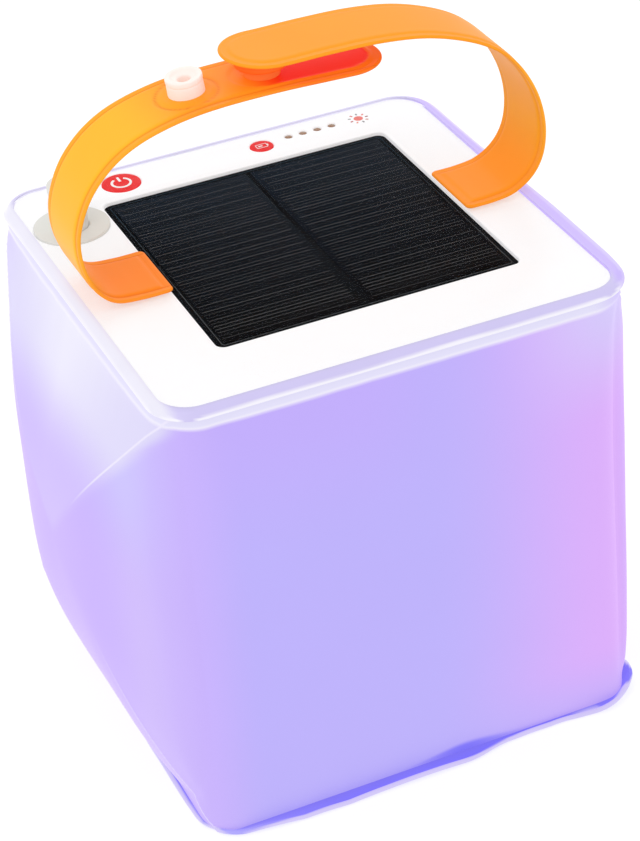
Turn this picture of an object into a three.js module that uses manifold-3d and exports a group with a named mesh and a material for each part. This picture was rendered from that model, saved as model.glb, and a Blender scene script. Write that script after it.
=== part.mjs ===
// Inflatable solar lantern: a frosted film cube under a flat electronics head,
// with a two-piece snap-together strap handle. Millimetres, +Z up, +X right, +Y back.
// The origin is the centre of the bottom face.

import * as THREE from "three";
import { mergeVertices } from "three/addons/utils/BufferGeometryUtils.js";
import Module from "manifold-3d";

const wasm = await Module();
wasm.setup();

// ---------------------------------------------------------------- driving dimensions

const GAP = 0.3;

// bag
const HEIGHT = 160;
const FILM = 0.4;
const RIM_SIDE = 152;
const RIM_CORNER = 13;
const RIM_THICK = 1.0;
const WALL_SIDE = 149.4;
const WALL_CORNER = 12;
const WALL_THICK = 1.0;
const SIDE_BULGE = 18.5;
const FACE_BULGE = 7.5;
const FOOT_SIDE = 158;
const FOOT_CORNER = 16;
const FOOT_FLANGE = 9;
const BOTTOM_THICK = 0.8;

// head
const PLATE_SIDE = 146;
const PLATE_CORNER = 10;
const PLATE_TOP = HEIGHT - FILM - GAP;
const PLATE_THICK = 3.0;
const SKIRT_WALL = 1.8;
const SKIRT_BOTTOM = HEIGHT - 9.1;
const COVER_BOTTOM = HEIGHT - 12.4;
const COVER_FLOOR = 1.4;
const COVER_HEIGHT = 3.0;
const SCREW_SPOT = 64;
const BOSS_R = 3.2;
const SCREW_R = 1.0;
const SCREW_HEAD_R = 2.5;

// solar panel
const SOLAR_SIDE = 100;
const SOLAR_CORNER = 3;
const SOLAR_X = 3.0;
const SOLAR_Y = 3.2;
const SOLAR_BOARD = 0.6;
const SOLAR_COVER = 0.5;
const SOLAR_POCKET = 1.8;
const CELL_SIDE = 94;
const CELL_GAP = 1.6;

// controls, along the back edge of the plate
const CONTROL_Y = 64.2;
const POWER_X = -36;
const POWER_R = 6.5;
const LEVEL_X = 14;
const LEVEL_R = 4.0;
const BUTTON_CAP = 2.0;
const BUTTON_STEM_R = 1.6;
const LIGHT_Y = 65.9;
const LIGHT_FIRST_X = 24.5;
const LIGHT_PITCH = 5.27;
const LIGHT_COUNT = 4;
const LIGHT_R = 1.3;
const BOARD_Z = HEIGHT - 9.65;
const BOARD_THICK = 1.0;

// charging port, in the back side
const PORT_X = -8;
const PORT_WIDTH = 13;
const PORT_HEIGHT = 5.6;
const PORT_FACE_Y = 75.8;
const PORT_COVER_THICK = 1.4;
const SLOT_WIDTH = 7.6;
const SLOT_HEIGHT = 2.7;
const SOCKET_HEIGHT = 3.0;

// valve
const VALVE_X = -60.1;
const VALVE_Y = 44.8;
const FLANGE_R = 12.3;
const COLLAR_R = 7.2;
const COLLAR_BOTTOM = HEIGHT - 15;
const BARREL_R = 5.4;
const BORE_R = 4.2;
const STEM_HEAD_R = 6.2;
const STEM_HEAD_BOTTOM = HEIGHT + 8.8;
const CAP_R = 6.4;
const CAP_BOTTOM = HEIGHT + 12.5;
const CAP_THICK = 2.6;

// handle
const STRAP_WIDTH = 27.4;
const STRAP_Y = 1.7;
const STRAP_THICK = 1.6;
const STUD_R = 5.7;
const STUD_BORE_R = 2.0;
const STUD_FOOT_R = 8.0;

// lamps
const LAMP_X = 60;
const LAMP_FIRST_Y = -42;
const LAMP_PITCH = 28;
const LAMP_COUNT = 3;
const LAMP_SIDE = 5;

// ---------------------------------------------------------------- finishes

const finishes = {
  frost: { color: 0xc9b8ff, roughness: 0.45, metalness: 0 },
  clear: { color: 0xf2f0fa, roughness: 0.2, metalness: 0 },
  white: { color: 0xf6f6f6, roughness: 0.4, metalness: 0 },
  orange: { color: 0xffa532, roughness: 0.4, metalness: 0 },
  red: { color: 0xe3322d, roughness: 0.4, metalness: 0 },
  black: { color: 0x17181a, roughness: 0.3, metalness: 0 },
  cell: { color: 0x1b1b20, roughness: 0.25, metalness: 0 },
  lens: { color: 0xd8d8d4, roughness: 0.3, metalness: 0 },
  lamp: { color: 0xfff6d8, roughness: 0.4, metalness: 0 },
  board: { color: 0x1f6b3a, roughness: 0.5, metalness: 0 },
  steel: { color: 0xb9bcc0, roughness: 0.35, metalness: 1 },
  foil: { color: 0x9fa6b0, roughness: 0.4, metalness: 0.6 },
  foam: { color: 0x3b3b3d, roughness: 0.9, metalness: 0 },
  wire: { color: 0xb5231f, roughness: 0.5, metalness: 0 },
};

// ---------------------------------------------------------------- helpers

// A closed geometry as a manifold-3d solid.
function toSolid(geometry) {
  const bare = geometry.clone();
  bare.deleteAttribute("normal");
  bare.deleteAttribute("uv");
  const merged = mergeVertices(bare, 1e-4);
  const vertProperties = new Float32Array(merged.attributes.position.array);
  const triVerts = new Uint32Array(merged.index.array);
  return new wasm.Manifold(new wasm.Mesh({ numProp: 3, vertProperties, triVerts }));
}

// A manifold-3d solid as a geometry.
function toGeometry(solid) {
  const mesh = solid.getMesh();
  const geometry = new THREE.BufferGeometry();
  geometry.setAttribute("position", new THREE.BufferAttribute(mesh.vertProperties, 3));
  geometry.setIndex(new THREE.BufferAttribute(mesh.triVerts, 1));
  geometry.computeVertexNormals();
  return geometry;
}

function cut(body, ...tools) {
  const solid = tools.reduce((left, tool) => left.subtract(toSolid(tool)), toSolid(body));
  return toGeometry(solid);
}

function join(body, ...extras) {
  const solid = extras.reduce((whole, extra) => whole.add(toSolid(extra)), toSolid(body));
  return toGeometry(solid);
}

// A box from its centre in X and Y, its lowest z and its sizes.
function box(x, y, z, width, depth, height) {
  const geometry = new THREE.BoxGeometry(width, depth, height);
  return geometry.translate(x, y, z + height / 2);
}

// An upright cylinder from its lowest z.
function disc(x, y, z, radius, height, sides = 14) {
  const geometry = new THREE.CylinderGeometry(radius, radius, height, sides);
  return geometry.rotateX(Math.PI / 2).translate(x, y, z + height / 2);
}

// An upright turned solid from an outline of [radius, z] pairs that closes on itself.
function turned(x, y, outline, sides = 20) {
  const points = [...outline, outline[0]].map(([r, z]) => new THREE.Vector2(r, z));
  const geometry = new THREE.LatheGeometry(points, sides);
  return geometry.rotateX(Math.PI / 2).translate(x, y, 0);
}

// A flat slab with rounded corners, from its lowest z.
function slab(x, y, z, width, depth, height, corner) {
  const shape = new THREE.Shape();
  const cx = width / 2 - corner;
  const cy = depth / 2 - corner;
  const quarter = Math.PI / 2;
  shape.absarc(cx, cy, corner, 0, quarter);
  shape.absarc(-cx, cy, corner, quarter, 2 * quarter);
  shape.absarc(-cx, -cy, corner, 2 * quarter, 3 * quarter);
  shape.absarc(cx, -cy, corner, 3 * quarter, 4 * quarter);
  shape.closePath();
  const settings = { depth: height, bevelEnabled: false, curveSegments: 4 };
  return new THREE.ExtrudeGeometry(shape, settings).translate(x, y, z);
}

// A flat square frame: a slab with a rounded window through it.
function frame(z, side, height, corner, band) {
  const inner = side - 2 * band;
  const opening = slab(0, 0, z - 1, inner, inner, height + 2, corner - band);
  return cut(slab(0, 0, z, side, side, height, corner), opening);
}

// A thin insulated wire along hand-set points.
function wire(points) {
  const path = new THREE.CatmullRomCurve3(points.map((p) => new THREE.Vector3(...p)));
  const section = new THREE.Shape();
  section.absarc(0, 0, 0.6, 0, 2 * Math.PI);
  const settings = { steps: 9, curveSegments: 4, bevelEnabled: false, extrudePath: path };
  return new THREE.ExtrudeGeometry(section, settings);
}

function series(count, first, pitch) {
  return Array.from({ length: count }, (_, i) => first + i * pitch);
}

const lantern = new THREE.Group();

function place(name, finish, geometry) {
  const mesh = new THREE.Mesh(geometry, new THREE.MeshStandardMaterial(finishes[finish]));
  mesh.name = name;
  lantern.add(mesh);
  return mesh;
}

// ---------------------------------------------------------------- bag

const wallBottom = RIM_THICK + GAP;
const wallTop = HEIGHT - FILM - RIM_THICK - 2 * GAP;
const portZ = BOARD_Z + BOARD_THICK + 1.65;

// How far a wall stands out at (u, v), both from -1 to 1, as a share of its bulge.
// The front and back are smooth pillows; the sides fold along their two diagonals.
function pillow(u, v) {
  return (1 - u ** 2) * (1 - v ** 2);
}

function gusset(u, v) {
  return 1 - Math.max(Math.abs(u), Math.abs(v)) ** 1.5;
}

// A film wall facing -Y that turns half of each rounded corner and bulges by a profile.
// Of its divisions, two at each end make the corner and the rest the flat stretch.
function wall(bulge, profile) {
  const divisions = 14;
  const flat = WALL_SIDE / 2 - WALL_CORNER;
  const arc = (WALL_CORNER * Math.PI) / 4 - GAP / 2;
  const height = wallTop - wallBottom;
  const film = new THREE.BoxGeometry(divisions, WALL_THICK, height, divisions, 1, 8);
  const position = film.attributes.position;
  for (let i = 0; i < position.count; i += 1) {
    const step = position.getX(i);
    const up = position.getZ(i);
    const cornerSteps = Math.max(Math.abs(step) - divisions / 2 + 2, 0);
    const flatSteps = Math.abs(step) - cornerSteps;
    const level = (flat * flatSteps) / (divisions / 2 - 2);
    const past = (arc * cornerSteps) / 2;
    const stand = bulge * profile((level + past) / (flat + arc), (2 * up) / height);
    const radius = WALL_CORNER - WALL_THICK / 2 - position.getY(i) + stand;
    const x = Math.sign(step) * (level + radius * Math.sin(past / WALL_CORNER));
    const y = -flat - radius * Math.cos(past / WALL_CORNER);
    position.setXYZ(i, x, y, up + (wallTop + wallBottom) / 2);
  }
  return film;
}

const portCut = box(PORT_X, WALL_SIDE / 2, portZ - 3.9, PORT_WIDTH + 1, 20, 7.8);
place("wall_front", "frost", wall(FACE_BULGE, pillow));
place("wall_back", "frost", cut(wall(FACE_BULGE, pillow).rotateZ(Math.PI), portCut));
place("wall_left", "frost", wall(SIDE_BULGE, gusset).rotateZ(-Math.PI / 2));
place("wall_right", "frost", wall(SIDE_BULGE, gusset).rotateZ(Math.PI / 2));

const bottomSide = FOOT_SIDE - 2 * FOOT_FLANGE - GAP;
const bottomCorner = FOOT_CORNER - FOOT_FLANGE;
place("bottom_rim", "frost", frame(0, FOOT_SIDE, RIM_THICK, FOOT_CORNER, FOOT_FLANGE));
place("bottom_film", "frost", slab(0, 0, 0, bottomSide, bottomSide, BOTTOM_THICK, bottomCorner));

const rimBottom = PLATE_TOP - RIM_THICK;
const rimBand = (RIM_SIDE - PLATE_SIDE) / 2 - GAP;
const topSheet = slab(0, 0, HEIGHT - FILM, RIM_SIDE, RIM_SIDE, FILM, RIM_CORNER);
const valveWindow = disc(VALVE_X, VALVE_Y, HEIGHT - 2, FLANGE_R + GAP, 4, 28);
place("top_rim", "clear", frame(rimBottom, RIM_SIDE, RIM_THICK, RIM_CORNER, rimBand));
place("top_film", "clear", cut(topSheet, valveWindow));

// ---------------------------------------------------------------- head housing

const plateBottom = PLATE_TOP - PLATE_THICK;
const coverFloorTop = COVER_BOTTOM + COVER_FLOOR;
const insideSide = PLATE_SIDE - 2 * SKIRT_WALL;
const insideCorner = PLATE_CORNER - SKIRT_WALL;
const lightXs = series(LIGHT_COUNT, LIGHT_FIRST_X, LIGHT_PITCH);
const lampYs = series(LAMP_COUNT, LAMP_FIRST_Y, LAMP_PITCH);
const screwSpots = [
  [-SCREW_SPOT, -SCREW_SPOT],
  [SCREW_SPOT, -SCREW_SPOT],
  [SCREW_SPOT, SCREW_SPOT],
  [-SCREW_SPOT, SCREW_SPOT],
];

// A hole right through the plate's top.
function plateHole(x, y, radius, sides) {
  return disc(x, y, plateBottom - 1, radius + GAP, PLATE_THICK + 2, sides);
}

function headPlate() {
  const height = PLATE_TOP - SKIRT_BOTTOM;
  const depth = plateBottom - SKIRT_BOTTOM;
  const pocketSide = SOLAR_SIDE + 0.4;
  const pocketZ = PLATE_TOP - SOLAR_POCKET;
  const shell = cut(
    slab(0, 0, SKIRT_BOTTOM, PLATE_SIDE, PLATE_SIDE, height, PLATE_CORNER),
    slab(0, 0, SKIRT_BOTTOM - 1, insideSide, insideSide, depth + 1, insideCorner),
    slab(SOLAR_X, SOLAR_Y, pocketZ, pocketSide, pocketSide, SOLAR_POCKET + 1, SOLAR_CORNER),
  );
  const bosses = screwSpots.map(([x, y]) => disc(x, y, SKIRT_BOTTOM, BOSS_R, depth + 0.5, 12));
  const pilots = screwSpots.map(([x, y]) => disc(x, y, SKIRT_BOTTOM - 1, SCREW_R + GAP, 6, 8));
  return cut(
    join(shell, ...bosses),
    ...pilots,
    plateHole(SOLAR_X, SOLAR_Y + 46, 2.2, 12),
    plateHole(POWER_X, CONTROL_Y, POWER_R, 28),
    plateHole(LEVEL_X, CONTROL_Y, LEVEL_R, 20),
    ...lightXs.map((x) => plateHole(x, LIGHT_Y, LIGHT_R, 10)),
    plateHole(VALVE_X, VALVE_Y, COLLAR_R, 20),
    disc(VALVE_X, VALVE_Y, PLATE_TOP - 1.1, FLANGE_R + 0.2, 3, 28),
    box(PORT_X, PLATE_SIDE / 2, portZ - 2.2, SLOT_WIDTH + 2, 8, 4.4),
  );
}

function backCover() {
  const shell = cut(
    slab(0, 0, COVER_BOTTOM, PLATE_SIDE, PLATE_SIDE, COVER_HEIGHT, PLATE_CORNER),
    slab(0, 0, coverFloorTop, insideSide, insideSide, COVER_HEIGHT, insideCorner),
  );
  const seats = screwSpots.map(([x, y]) => disc(x, y, COVER_BOTTOM, 4.2, COVER_HEIGHT, 12));
  const holes = screwSpots.map(([x, y]) => disc(x, y, COVER_BOTTOM - 1, SCREW_R + 0.6, 5, 8));
  const recesses = screwSpots.map(([x, y]) => disc(x, y, COVER_BOTTOM - 1, SCREW_HEAD_R + 0.5, 2.5, 12));
  const windows = [-LAMP_X, LAMP_X].flatMap((x) =>
    lampYs.map((y) => box(x, y, COVER_BOTTOM - 1, LAMP_SIDE + 1, LAMP_SIDE + 1, COVER_HEIGHT)),
  );
  const valveHole = disc(VALVE_X, VALVE_Y, COVER_BOTTOM - 1, COLLAR_R + GAP, COVER_HEIGHT, 20);
  return cut(join(shell, ...seats), ...holes, ...recesses, ...windows, valveHole);
}

place("head_plate", "white", headPlate());
place("back_cover", "white", backCover());

screwSpots.forEach(([x, y], i) => {
  const head = disc(x, y, COVER_BOTTOM + 0.1, SCREW_HEAD_R, 1.2, 12);
  const shank = disc(x, y, COVER_BOTTOM + 0.6, SCREW_R, 6.0, 8);
  const driveSlot = box(x, y, COVER_BOTTOM - 0.3, 3, 0.7, 0.8);
  place(`cover_screw_${i + 1}`, "steel", cut(join(head, shank), driveSlot));
});

// ---------------------------------------------------------------- solar panel

const solarBottom = PLATE_TOP - SOLAR_POCKET + 0.1;
const cellBottom = solarBottom + SOLAR_BOARD + 0.1;
const coverBottom = cellBottom + 0.3;
const cellWidth = (CELL_SIDE - CELL_GAP) / 2;
const cellShift = (cellWidth + CELL_GAP) / 2;

function panelSheet(z, thickness) {
  return slab(SOLAR_X, SOLAR_Y, z, SOLAR_SIDE, SOLAR_SIDE, thickness, SOLAR_CORNER);
}

function cellField(side) {
  return box(SOLAR_X + side * cellShift, SOLAR_Y, cellBottom, cellWidth, CELL_SIDE, 0.2);
}

place("solar_board", "black", panelSheet(solarBottom, SOLAR_BOARD));
place("solar_cells_left", "cell", cellField(-1));
place("solar_cells_right", "cell", cellField(1));
place("solar_cover", "clear", panelSheet(coverBottom, SOLAR_COVER));

// ---------------------------------------------------------------- control board, switches and lights

const boardTop = BOARD_Z + BOARD_THICK;
const switchTop = boardTop + 1.5;

// A low switch with a round plunger.
function tactSwitch(x, plungerR) {
  const body = box(x, CONTROL_Y, boardTop + 0.05, 5, 5, 1.0);
  return join(body, disc(x, CONTROL_Y, boardTop + 0.8, plungerR, 0.7, 12));
}

// A push button whose stem stops just above its switch.
function button(x, radius) {
  const top = PLATE_TOP - 0.1;
  const stemBottom = switchTop + 1.2;
  const cap = disc(x, CONTROL_Y, top - BUTTON_CAP, radius, BUTTON_CAP, 28);
  const stem = disc(x, CONTROL_Y, stemBottom, BUTTON_STEM_R, top - 1 - stemBottom, 12);
  return join(cap, stem);
}

// An indicator lamp whose dome reaches up through the plate.
function indicator(x) {
  const base = disc(x, LIGHT_Y, boardTop + 0.05, LIGHT_R + 0.4, 0.8, 10);
  const domeBottom = boardTop + 0.4;
  const dome = disc(x, LIGHT_Y, domeBottom, LIGHT_R, PLATE_TOP - 0.3 - domeBottom, 10);
  return join(base, dome);
}

place("control_board", "board", box(3, 62.5, BOARD_Z, 104, 13, BOARD_THICK));
place("power_switch", "black", tactSwitch(POWER_X, 1.5));
place("level_switch", "black", tactSwitch(LEVEL_X, 1.2));
place("power_button", "red", button(POWER_X, POWER_R));
place("level_button", "red", button(LEVEL_X, LEVEL_R));
lightXs.forEach((x, i) => {
  place(`indicator_light_${i + 1}`, "lens", indicator(x));
});

// ---------------------------------------------------------------- charging port

const socketBottom = boardTop + 0.05;
const coverPlateY = PORT_FACE_Y + GAP;

function portSocket() {
  const shell = box(PORT_X, 66.2, socketBottom, SLOT_WIDTH, 5.4, SOCKET_HEIGHT);
  const mouth = box(PORT_X, 67.2, socketBottom + 0.3, SLOT_WIDTH - 0.6, 5.4, SOCKET_HEIGHT - 0.6);
  return cut(shell, mouth);
}

// A soft frame whose sleeve passes through the head's skirt and whose collar fills the film.
function portFrame() {
  const sleeveBack = 69.2;
  const depth = PORT_FACE_Y - sleeveBack;
  const y = sleeveBack + depth / 2;
  const collarDepth = PORT_FACE_Y - PLATE_SIDE / 2 - GAP;
  const collarY = PORT_FACE_Y - collarDepth / 2;
  const sleeve = box(PORT_X, y, portZ - 2, SLOT_WIDTH + 1.6, depth, 4);
  const collar = box(PORT_X, collarY, portZ - PORT_HEIGHT / 2, PORT_WIDTH, collarDepth, PORT_HEIGHT);
  const passage = box(PORT_X, y, portZ - SLOT_HEIGHT / 2, SLOT_WIDTH, depth + 2, SLOT_HEIGHT);
  return cut(join(sleeve, collar), passage);
}

// The hinged cover: a slim plate, a short plug that enters the frame, and a lip to lift it by.
function portCover() {
  const bottom = portZ - PORT_HEIGHT / 2;
  const middle = coverPlateY + PORT_COVER_THICK / 2;
  const plate = box(PORT_X, middle, bottom, PORT_WIDTH, PORT_COVER_THICK, PORT_HEIGHT);
  const plug = box(PORT_X, PORT_FACE_Y - 0.1, portZ - 0.9, 6.4, 1.4, 1.8);
  const lip = box(PORT_X + PORT_WIDTH / 2, middle, portZ - 1.2, 2.4, PORT_COVER_THICK, 2.4);
  return join(plate, plug, lip);
}

place("port_socket", "steel", portSocket());
place("port_tongue", "black", box(PORT_X, 66.6, socketBottom + 1.15, 5, 3.4, 0.7));
place("port_frame", "lens", portFrame());
place("port_cover", "lens", portCover());

// ---------------------------------------------------------------- battery, lamps and leads

const BATTERY = { x: -4, y: -20, width: 66, depth: 52, height: 5 };
const batteryBottom = coverFloorTop + 0.6;
const batteryTop = batteryBottom + BATTERY.height;
const lampBoardZ = coverFloorTop + 0.5;
const lampMidY = LAMP_FIRST_Y + (LAMP_PITCH * (LAMP_COUNT - 1)) / 2;

function batterySlab(z, trim, height) {
  return slab(BATTERY.x, BATTERY.y, z, BATTERY.width - trim, BATTERY.depth - trim, height, 2);
}

place("battery_cell", "foil", batterySlab(batteryBottom, 0, BATTERY.height));
place("battery_pad", "foam", batterySlab(batteryTop + 0.1, 4, 1));

for (const [sideName, side] of [
  ["left", -1],
  ["right", 1],
]) {
  const x = side * LAMP_X;
  const lampHeight = lampBoardZ - COVER_BOTTOM - 0.3;
  place(`lamp_board_${sideName}`, "board", box(x, lampMidY, lampBoardZ, 11, 70, 0.8));
  place(`diffuser_${sideName}`, "lens", slab(x, lampMidY, COVER_BOTTOM - 1.3, 12, 72, 1, 3));
  lampYs.forEach((y, i) => {
    const lamp = box(x, y, COVER_BOTTOM + 0.2, LAMP_SIDE, LAMP_SIDE, lampHeight);
    place(`lamp_${sideName}_${i + 1}`, "lamp", lamp);
  });
  const lead = wire([
    [side * 56, 18, lampBoardZ + 1.7],
    [side * 50, 30, HEIGHT - 7.5],
    [side * 44, 44, HEIGHT - 7],
    [side * 40, 58, boardTop + 0.9],
  ]);
  place(`lamp_lead_${sideName}`, "wire", lead);
}

const batteryLead = wire([
  [-4, 6.6, HEIGHT - 7],
  [-4, 18, HEIGHT - 5.4],
  [2, 34, HEIGHT - 5.4],
  [-2, 48, HEIGHT - 5.8],
  [0, 58, boardTop + 0.9],
]);
const solarLead = wire([
  [SOLAR_X, SOLAR_Y + 46, HEIGHT - 3.4],
  [SOLAR_X + 1, SOLAR_Y + 46, HEIGHT - 5.4],
  [10, 54, HEIGHT - 6.2],
  [12, 58, boardTop + 0.9],
]);
place("battery_lead", "wire", batteryLead);
place("solar_lead", "wire", solarLead);

// ---------------------------------------------------------------- valve

function valveFlange() {
  const top = HEIGHT - 0.1;
  const outline = [
    [BARREL_R + GAP, COLLAR_BOTTOM],
    [COLLAR_R, COLLAR_BOTTOM],
    [COLLAR_R, top - 1.3],
    [FLANGE_R, top - 1.3],
    [FLANGE_R, top],
    [BARREL_R + GAP, top],
  ];
  return turned(VALVE_X, VALVE_Y, outline, 28);
}

function valveStem() {
  const bottom = HEIGHT - 2.5;
  const top = CAP_BOTTOM - GAP;
  const outline = [
    [BORE_R, bottom],
    [BARREL_R, bottom],
    [BARREL_R, STEM_HEAD_BOTTOM],
    [STEM_HEAD_R, STEM_HEAD_BOTTOM],
    [STEM_HEAD_R, top],
    [BORE_R, top],
  ];
  return turned(VALVE_X, VALVE_Y, outline);
}

// The cap: a lid, a plug that enters the stem's bore, and a lip to lift it by.
function valveCap() {
  const lid = disc(VALVE_X, VALVE_Y, CAP_BOTTOM, CAP_R, CAP_THICK, 20);
  const plug = disc(VALVE_X, VALVE_Y, CAP_BOTTOM - 3, BORE_R - 1.1, 3.5, 14);
  const lip = box(VALVE_X, VALVE_Y - CAP_R, CAP_BOTTOM + 1, 6, 4, 1.4);
  return join(lid, plug, lip);
}

place("valve_flange", "lens", valveFlange());
place("valve_stem", "lens", valveStem());
place("valve_cap", "lens", valveCap());
place("check_flap", "clear", disc(VALVE_X, VALVE_Y, COLLAR_BOTTOM - 1.1, COLLAR_R - 0.6, 0.7, 16));

// ---------------------------------------------------------------- handle

// Mid-line of each strap, from its welded tab to its free tip: X, and height above the bag.
const LEFT_LINE = [
  [-47, 1.1],
  [-57, 1.15],
  [-65.3, 2.3],
  [-70.6, 6.9],
  [-73.6, 13.2],
  [-74.9, 20.6],
  [-74.3, 28],
  [-71.2, 36.2],
  [-66.6, 42.8],
  [-60, 48.6],
  [-51.5, 52.9],
  [-39.5, 56],
  [-26, 57.4],
  [-8, 57.6],
  [8, 57.1],
  [30.3, 56.2],
];
const RIGHT_LINE = [
  [52.3, 1.1],
  [61.5, 1.15],
  [69, 2.4],
  [75.3, 6.6],
  [79, 13],
  [80.1, 21.5],
  [78.8, 30.5],
  [75.6, 38.8],
  [70.6, 46.6],
  [63.7, 53.3],
  [54, 58.6],
  [41, 62.9],
  [26.5, 65],
  [10, 65.6],
  [-6, 65.6],
  [-20.5, 66.3],
];
const LEFT_SHOULDER = 0.37;
const RIGHT_SHOULDER = 0.42;
const SHOULDER_GAP = 0.003;

// A stretch of strap: its mid-line thickened in XZ and given the strap's width along Y.
function strapStretch(line, from, to, steps) {
  const path = new THREE.CatmullRomCurve3(line.map(([x, up]) => new THREE.Vector3(x, 0, HEIGHT + up)));
  const half = STRAP_THICK / 2;
  const above = [];
  const below = [];
  for (let i = 0; i <= steps; i += 1) {
    const t = from + ((to - from) * i) / steps;
    const point = path.getPointAt(t);
    const along = path.getTangentAt(t);
    above.push(new THREE.Vector2(point.x - along.z * half, point.z + along.x * half));
    below.push(new THREE.Vector2(point.x + along.z * half, point.z - along.x * half));
  }
  const outline = new THREE.Shape([...above, ...below.reverse()]);
  const strip = new THREE.ExtrudeGeometry(outline, { depth: STRAP_WIDTH, bevelEnabled: false });
  return strip.rotateX(Math.PI / 2).translate(0, STRAP_Y + STRAP_WIDTH / 2, 0);
}

// A block that trims a free tip at x to a half circle seen from above. side is +1 or -1.
function tipTrim(x, side) {
  const reach = STRAP_WIDTH / 2;
  const centre = x - side * reach;
  const block = box(centre + side * reach, STRAP_Y, HEIGHT + 43, 2 * reach, STRAP_WIDTH + 4, 40);
  return cut(block, disc(centre, STRAP_Y, HEIGHT + 38, reach, 50, 28));
}

function band(line, shoulder, side) {
  const strip = strapStretch(line, shoulder + SHOULDER_GAP / 2, 1, 20);
  return cut(strip, tipTrim(line[line.length - 1][0], side));
}

const leftTab = strapStretch(LEFT_LINE, 0, LEFT_SHOULDER - SHOULDER_GAP / 2, 16);
const rightTab = strapStretch(RIGHT_LINE, 0, RIGHT_SHOULDER - SHOULDER_GAP / 2, 16);
place("left_strap_tab", "orange", leftTab);
place("left_strap_band", "orange", band(LEFT_LINE, LEFT_SHOULDER, 1));
place("right_strap_tab", "orange", rightTab);
place("right_strap_band", "orange", band(RIGHT_LINE, RIGHT_SHOULDER, -1));

// Snap studs: hollow posts with a welded foot, square to the strap under them.
const studs = [
  { x: -32.3, foot: 58.1, tilt: -0.1, height: 5.6 },
  { x: -8, foot: 58.75, tilt: 0, height: 3.6 },
];

function snapStud(height) {
  return turned(0, 0, [
    [STUD_BORE_R, 0],
    [STUD_FOOT_R, 0],
    [STUD_FOOT_R, 0.5],
    [STUD_R, 0.5],
    [STUD_R, height],
    [STUD_BORE_R, height],
  ]);
}

studs.forEach(({ x, foot, tilt, height }, i) => {
  const stud = place(`snap_stud_${i + 1}`, "lens", snapStud(height));
  stud.position.set(x, STRAP_Y, HEIGHT + foot);
  stud.rotation.y = tilt;
});

// The ring under the right strap that grips the second stud.
const socketBottomZ = HEIGHT + 61;
const socketTopZ = HEIGHT + 64.4;
const socketRing = turned(studs[1].x, STRAP_Y, [
  [STUD_R + 0.7, socketBottomZ],
  [STUD_FOOT_R + 0.4, socketBottomZ],
  [STUD_FOOT_R + 0.4, socketTopZ],
  [STUD_R + 0.7, socketTopZ],
]);
place("snap_socket", "orange", socketRing);

export default lantern;
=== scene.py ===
import bisect
import math

import bmesh
import bpy
from mathutils import Matrix, Vector, noise


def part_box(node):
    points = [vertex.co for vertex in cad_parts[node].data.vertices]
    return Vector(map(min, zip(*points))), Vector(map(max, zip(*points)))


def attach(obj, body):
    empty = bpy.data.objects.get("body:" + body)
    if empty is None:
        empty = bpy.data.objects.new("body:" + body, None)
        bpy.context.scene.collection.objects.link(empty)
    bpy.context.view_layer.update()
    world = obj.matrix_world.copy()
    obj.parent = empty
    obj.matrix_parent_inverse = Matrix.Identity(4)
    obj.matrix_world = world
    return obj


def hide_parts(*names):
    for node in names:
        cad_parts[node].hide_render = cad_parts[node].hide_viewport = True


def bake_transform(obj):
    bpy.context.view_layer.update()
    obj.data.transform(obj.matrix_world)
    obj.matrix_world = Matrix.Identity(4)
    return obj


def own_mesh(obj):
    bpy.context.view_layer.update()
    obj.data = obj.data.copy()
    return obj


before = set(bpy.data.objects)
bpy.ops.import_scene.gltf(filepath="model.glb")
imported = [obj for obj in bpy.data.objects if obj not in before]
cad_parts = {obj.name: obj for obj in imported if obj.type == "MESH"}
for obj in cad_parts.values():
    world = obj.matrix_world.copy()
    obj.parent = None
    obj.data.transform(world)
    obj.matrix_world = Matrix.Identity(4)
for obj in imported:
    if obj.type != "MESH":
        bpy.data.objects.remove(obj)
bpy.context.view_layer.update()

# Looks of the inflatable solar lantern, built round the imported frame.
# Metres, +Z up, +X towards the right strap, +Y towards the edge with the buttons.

MM = 0.001
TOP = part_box("top_film")[1].z
INDICATORS = [f"indicator_light_{i}" for i in range(1, 5)]

# ---- sizes the frame doesn't give

BAG_BOTTOM = 1.0 * MM
BAG_TOP = TOP - 3.1 * MM
BAG_HALF = 75.2 * MM
FOOT_CORNERS = (10 * MM, 6 * MM)  # of the outline at the foot, left and right
RIM_BAG_CORNER = 12.5 * MM
BAG_ROUNDING = 4 * MM  # how much rounder the upright edges are at mid-height
BAG_FOOT_INSET = 0.9 * MM
FOLD_END = 71.5 * MM  # where the side folds meet the corners, along Y
SIDE_BULGE = 17.5 * MM
FACE_BULGE = 7.3 * MM
SKIRT_DROP = 6.4 * MM  # how far the welded strip under the rim reaches down
SKIRT_STEP = 0.5 * MM
FOLD_SHARPNESS = (12, 5)  # of most folds, and of the left side's lower ones
BAG_FILM = 0.35 * MM

VALVE_DISC = 12.3 * MM
VALVE_BARREL = 7.2 * MM

STRAP_HALF = 13.7 * MM
STRAP_Y = 1.7 * MM
STRAP_EDGE = 0.45 * MM  # half-thickness of the welded border
STRAP_BODY = 0.8 * MM  # half-thickness inside the weld line
STRAP_STEP = 0.6 * MM
TAB_CORNER = 2 * MM
WELD_INSET = 2.5 * MM
STUD_RING = 9.6 * MM
STUD_FOOT = 8.0 * MM
RECESS_ENDS = (-9.0 * MM, 17.0 * MM)
RECESS_HALF = 9.5 * MM

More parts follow.
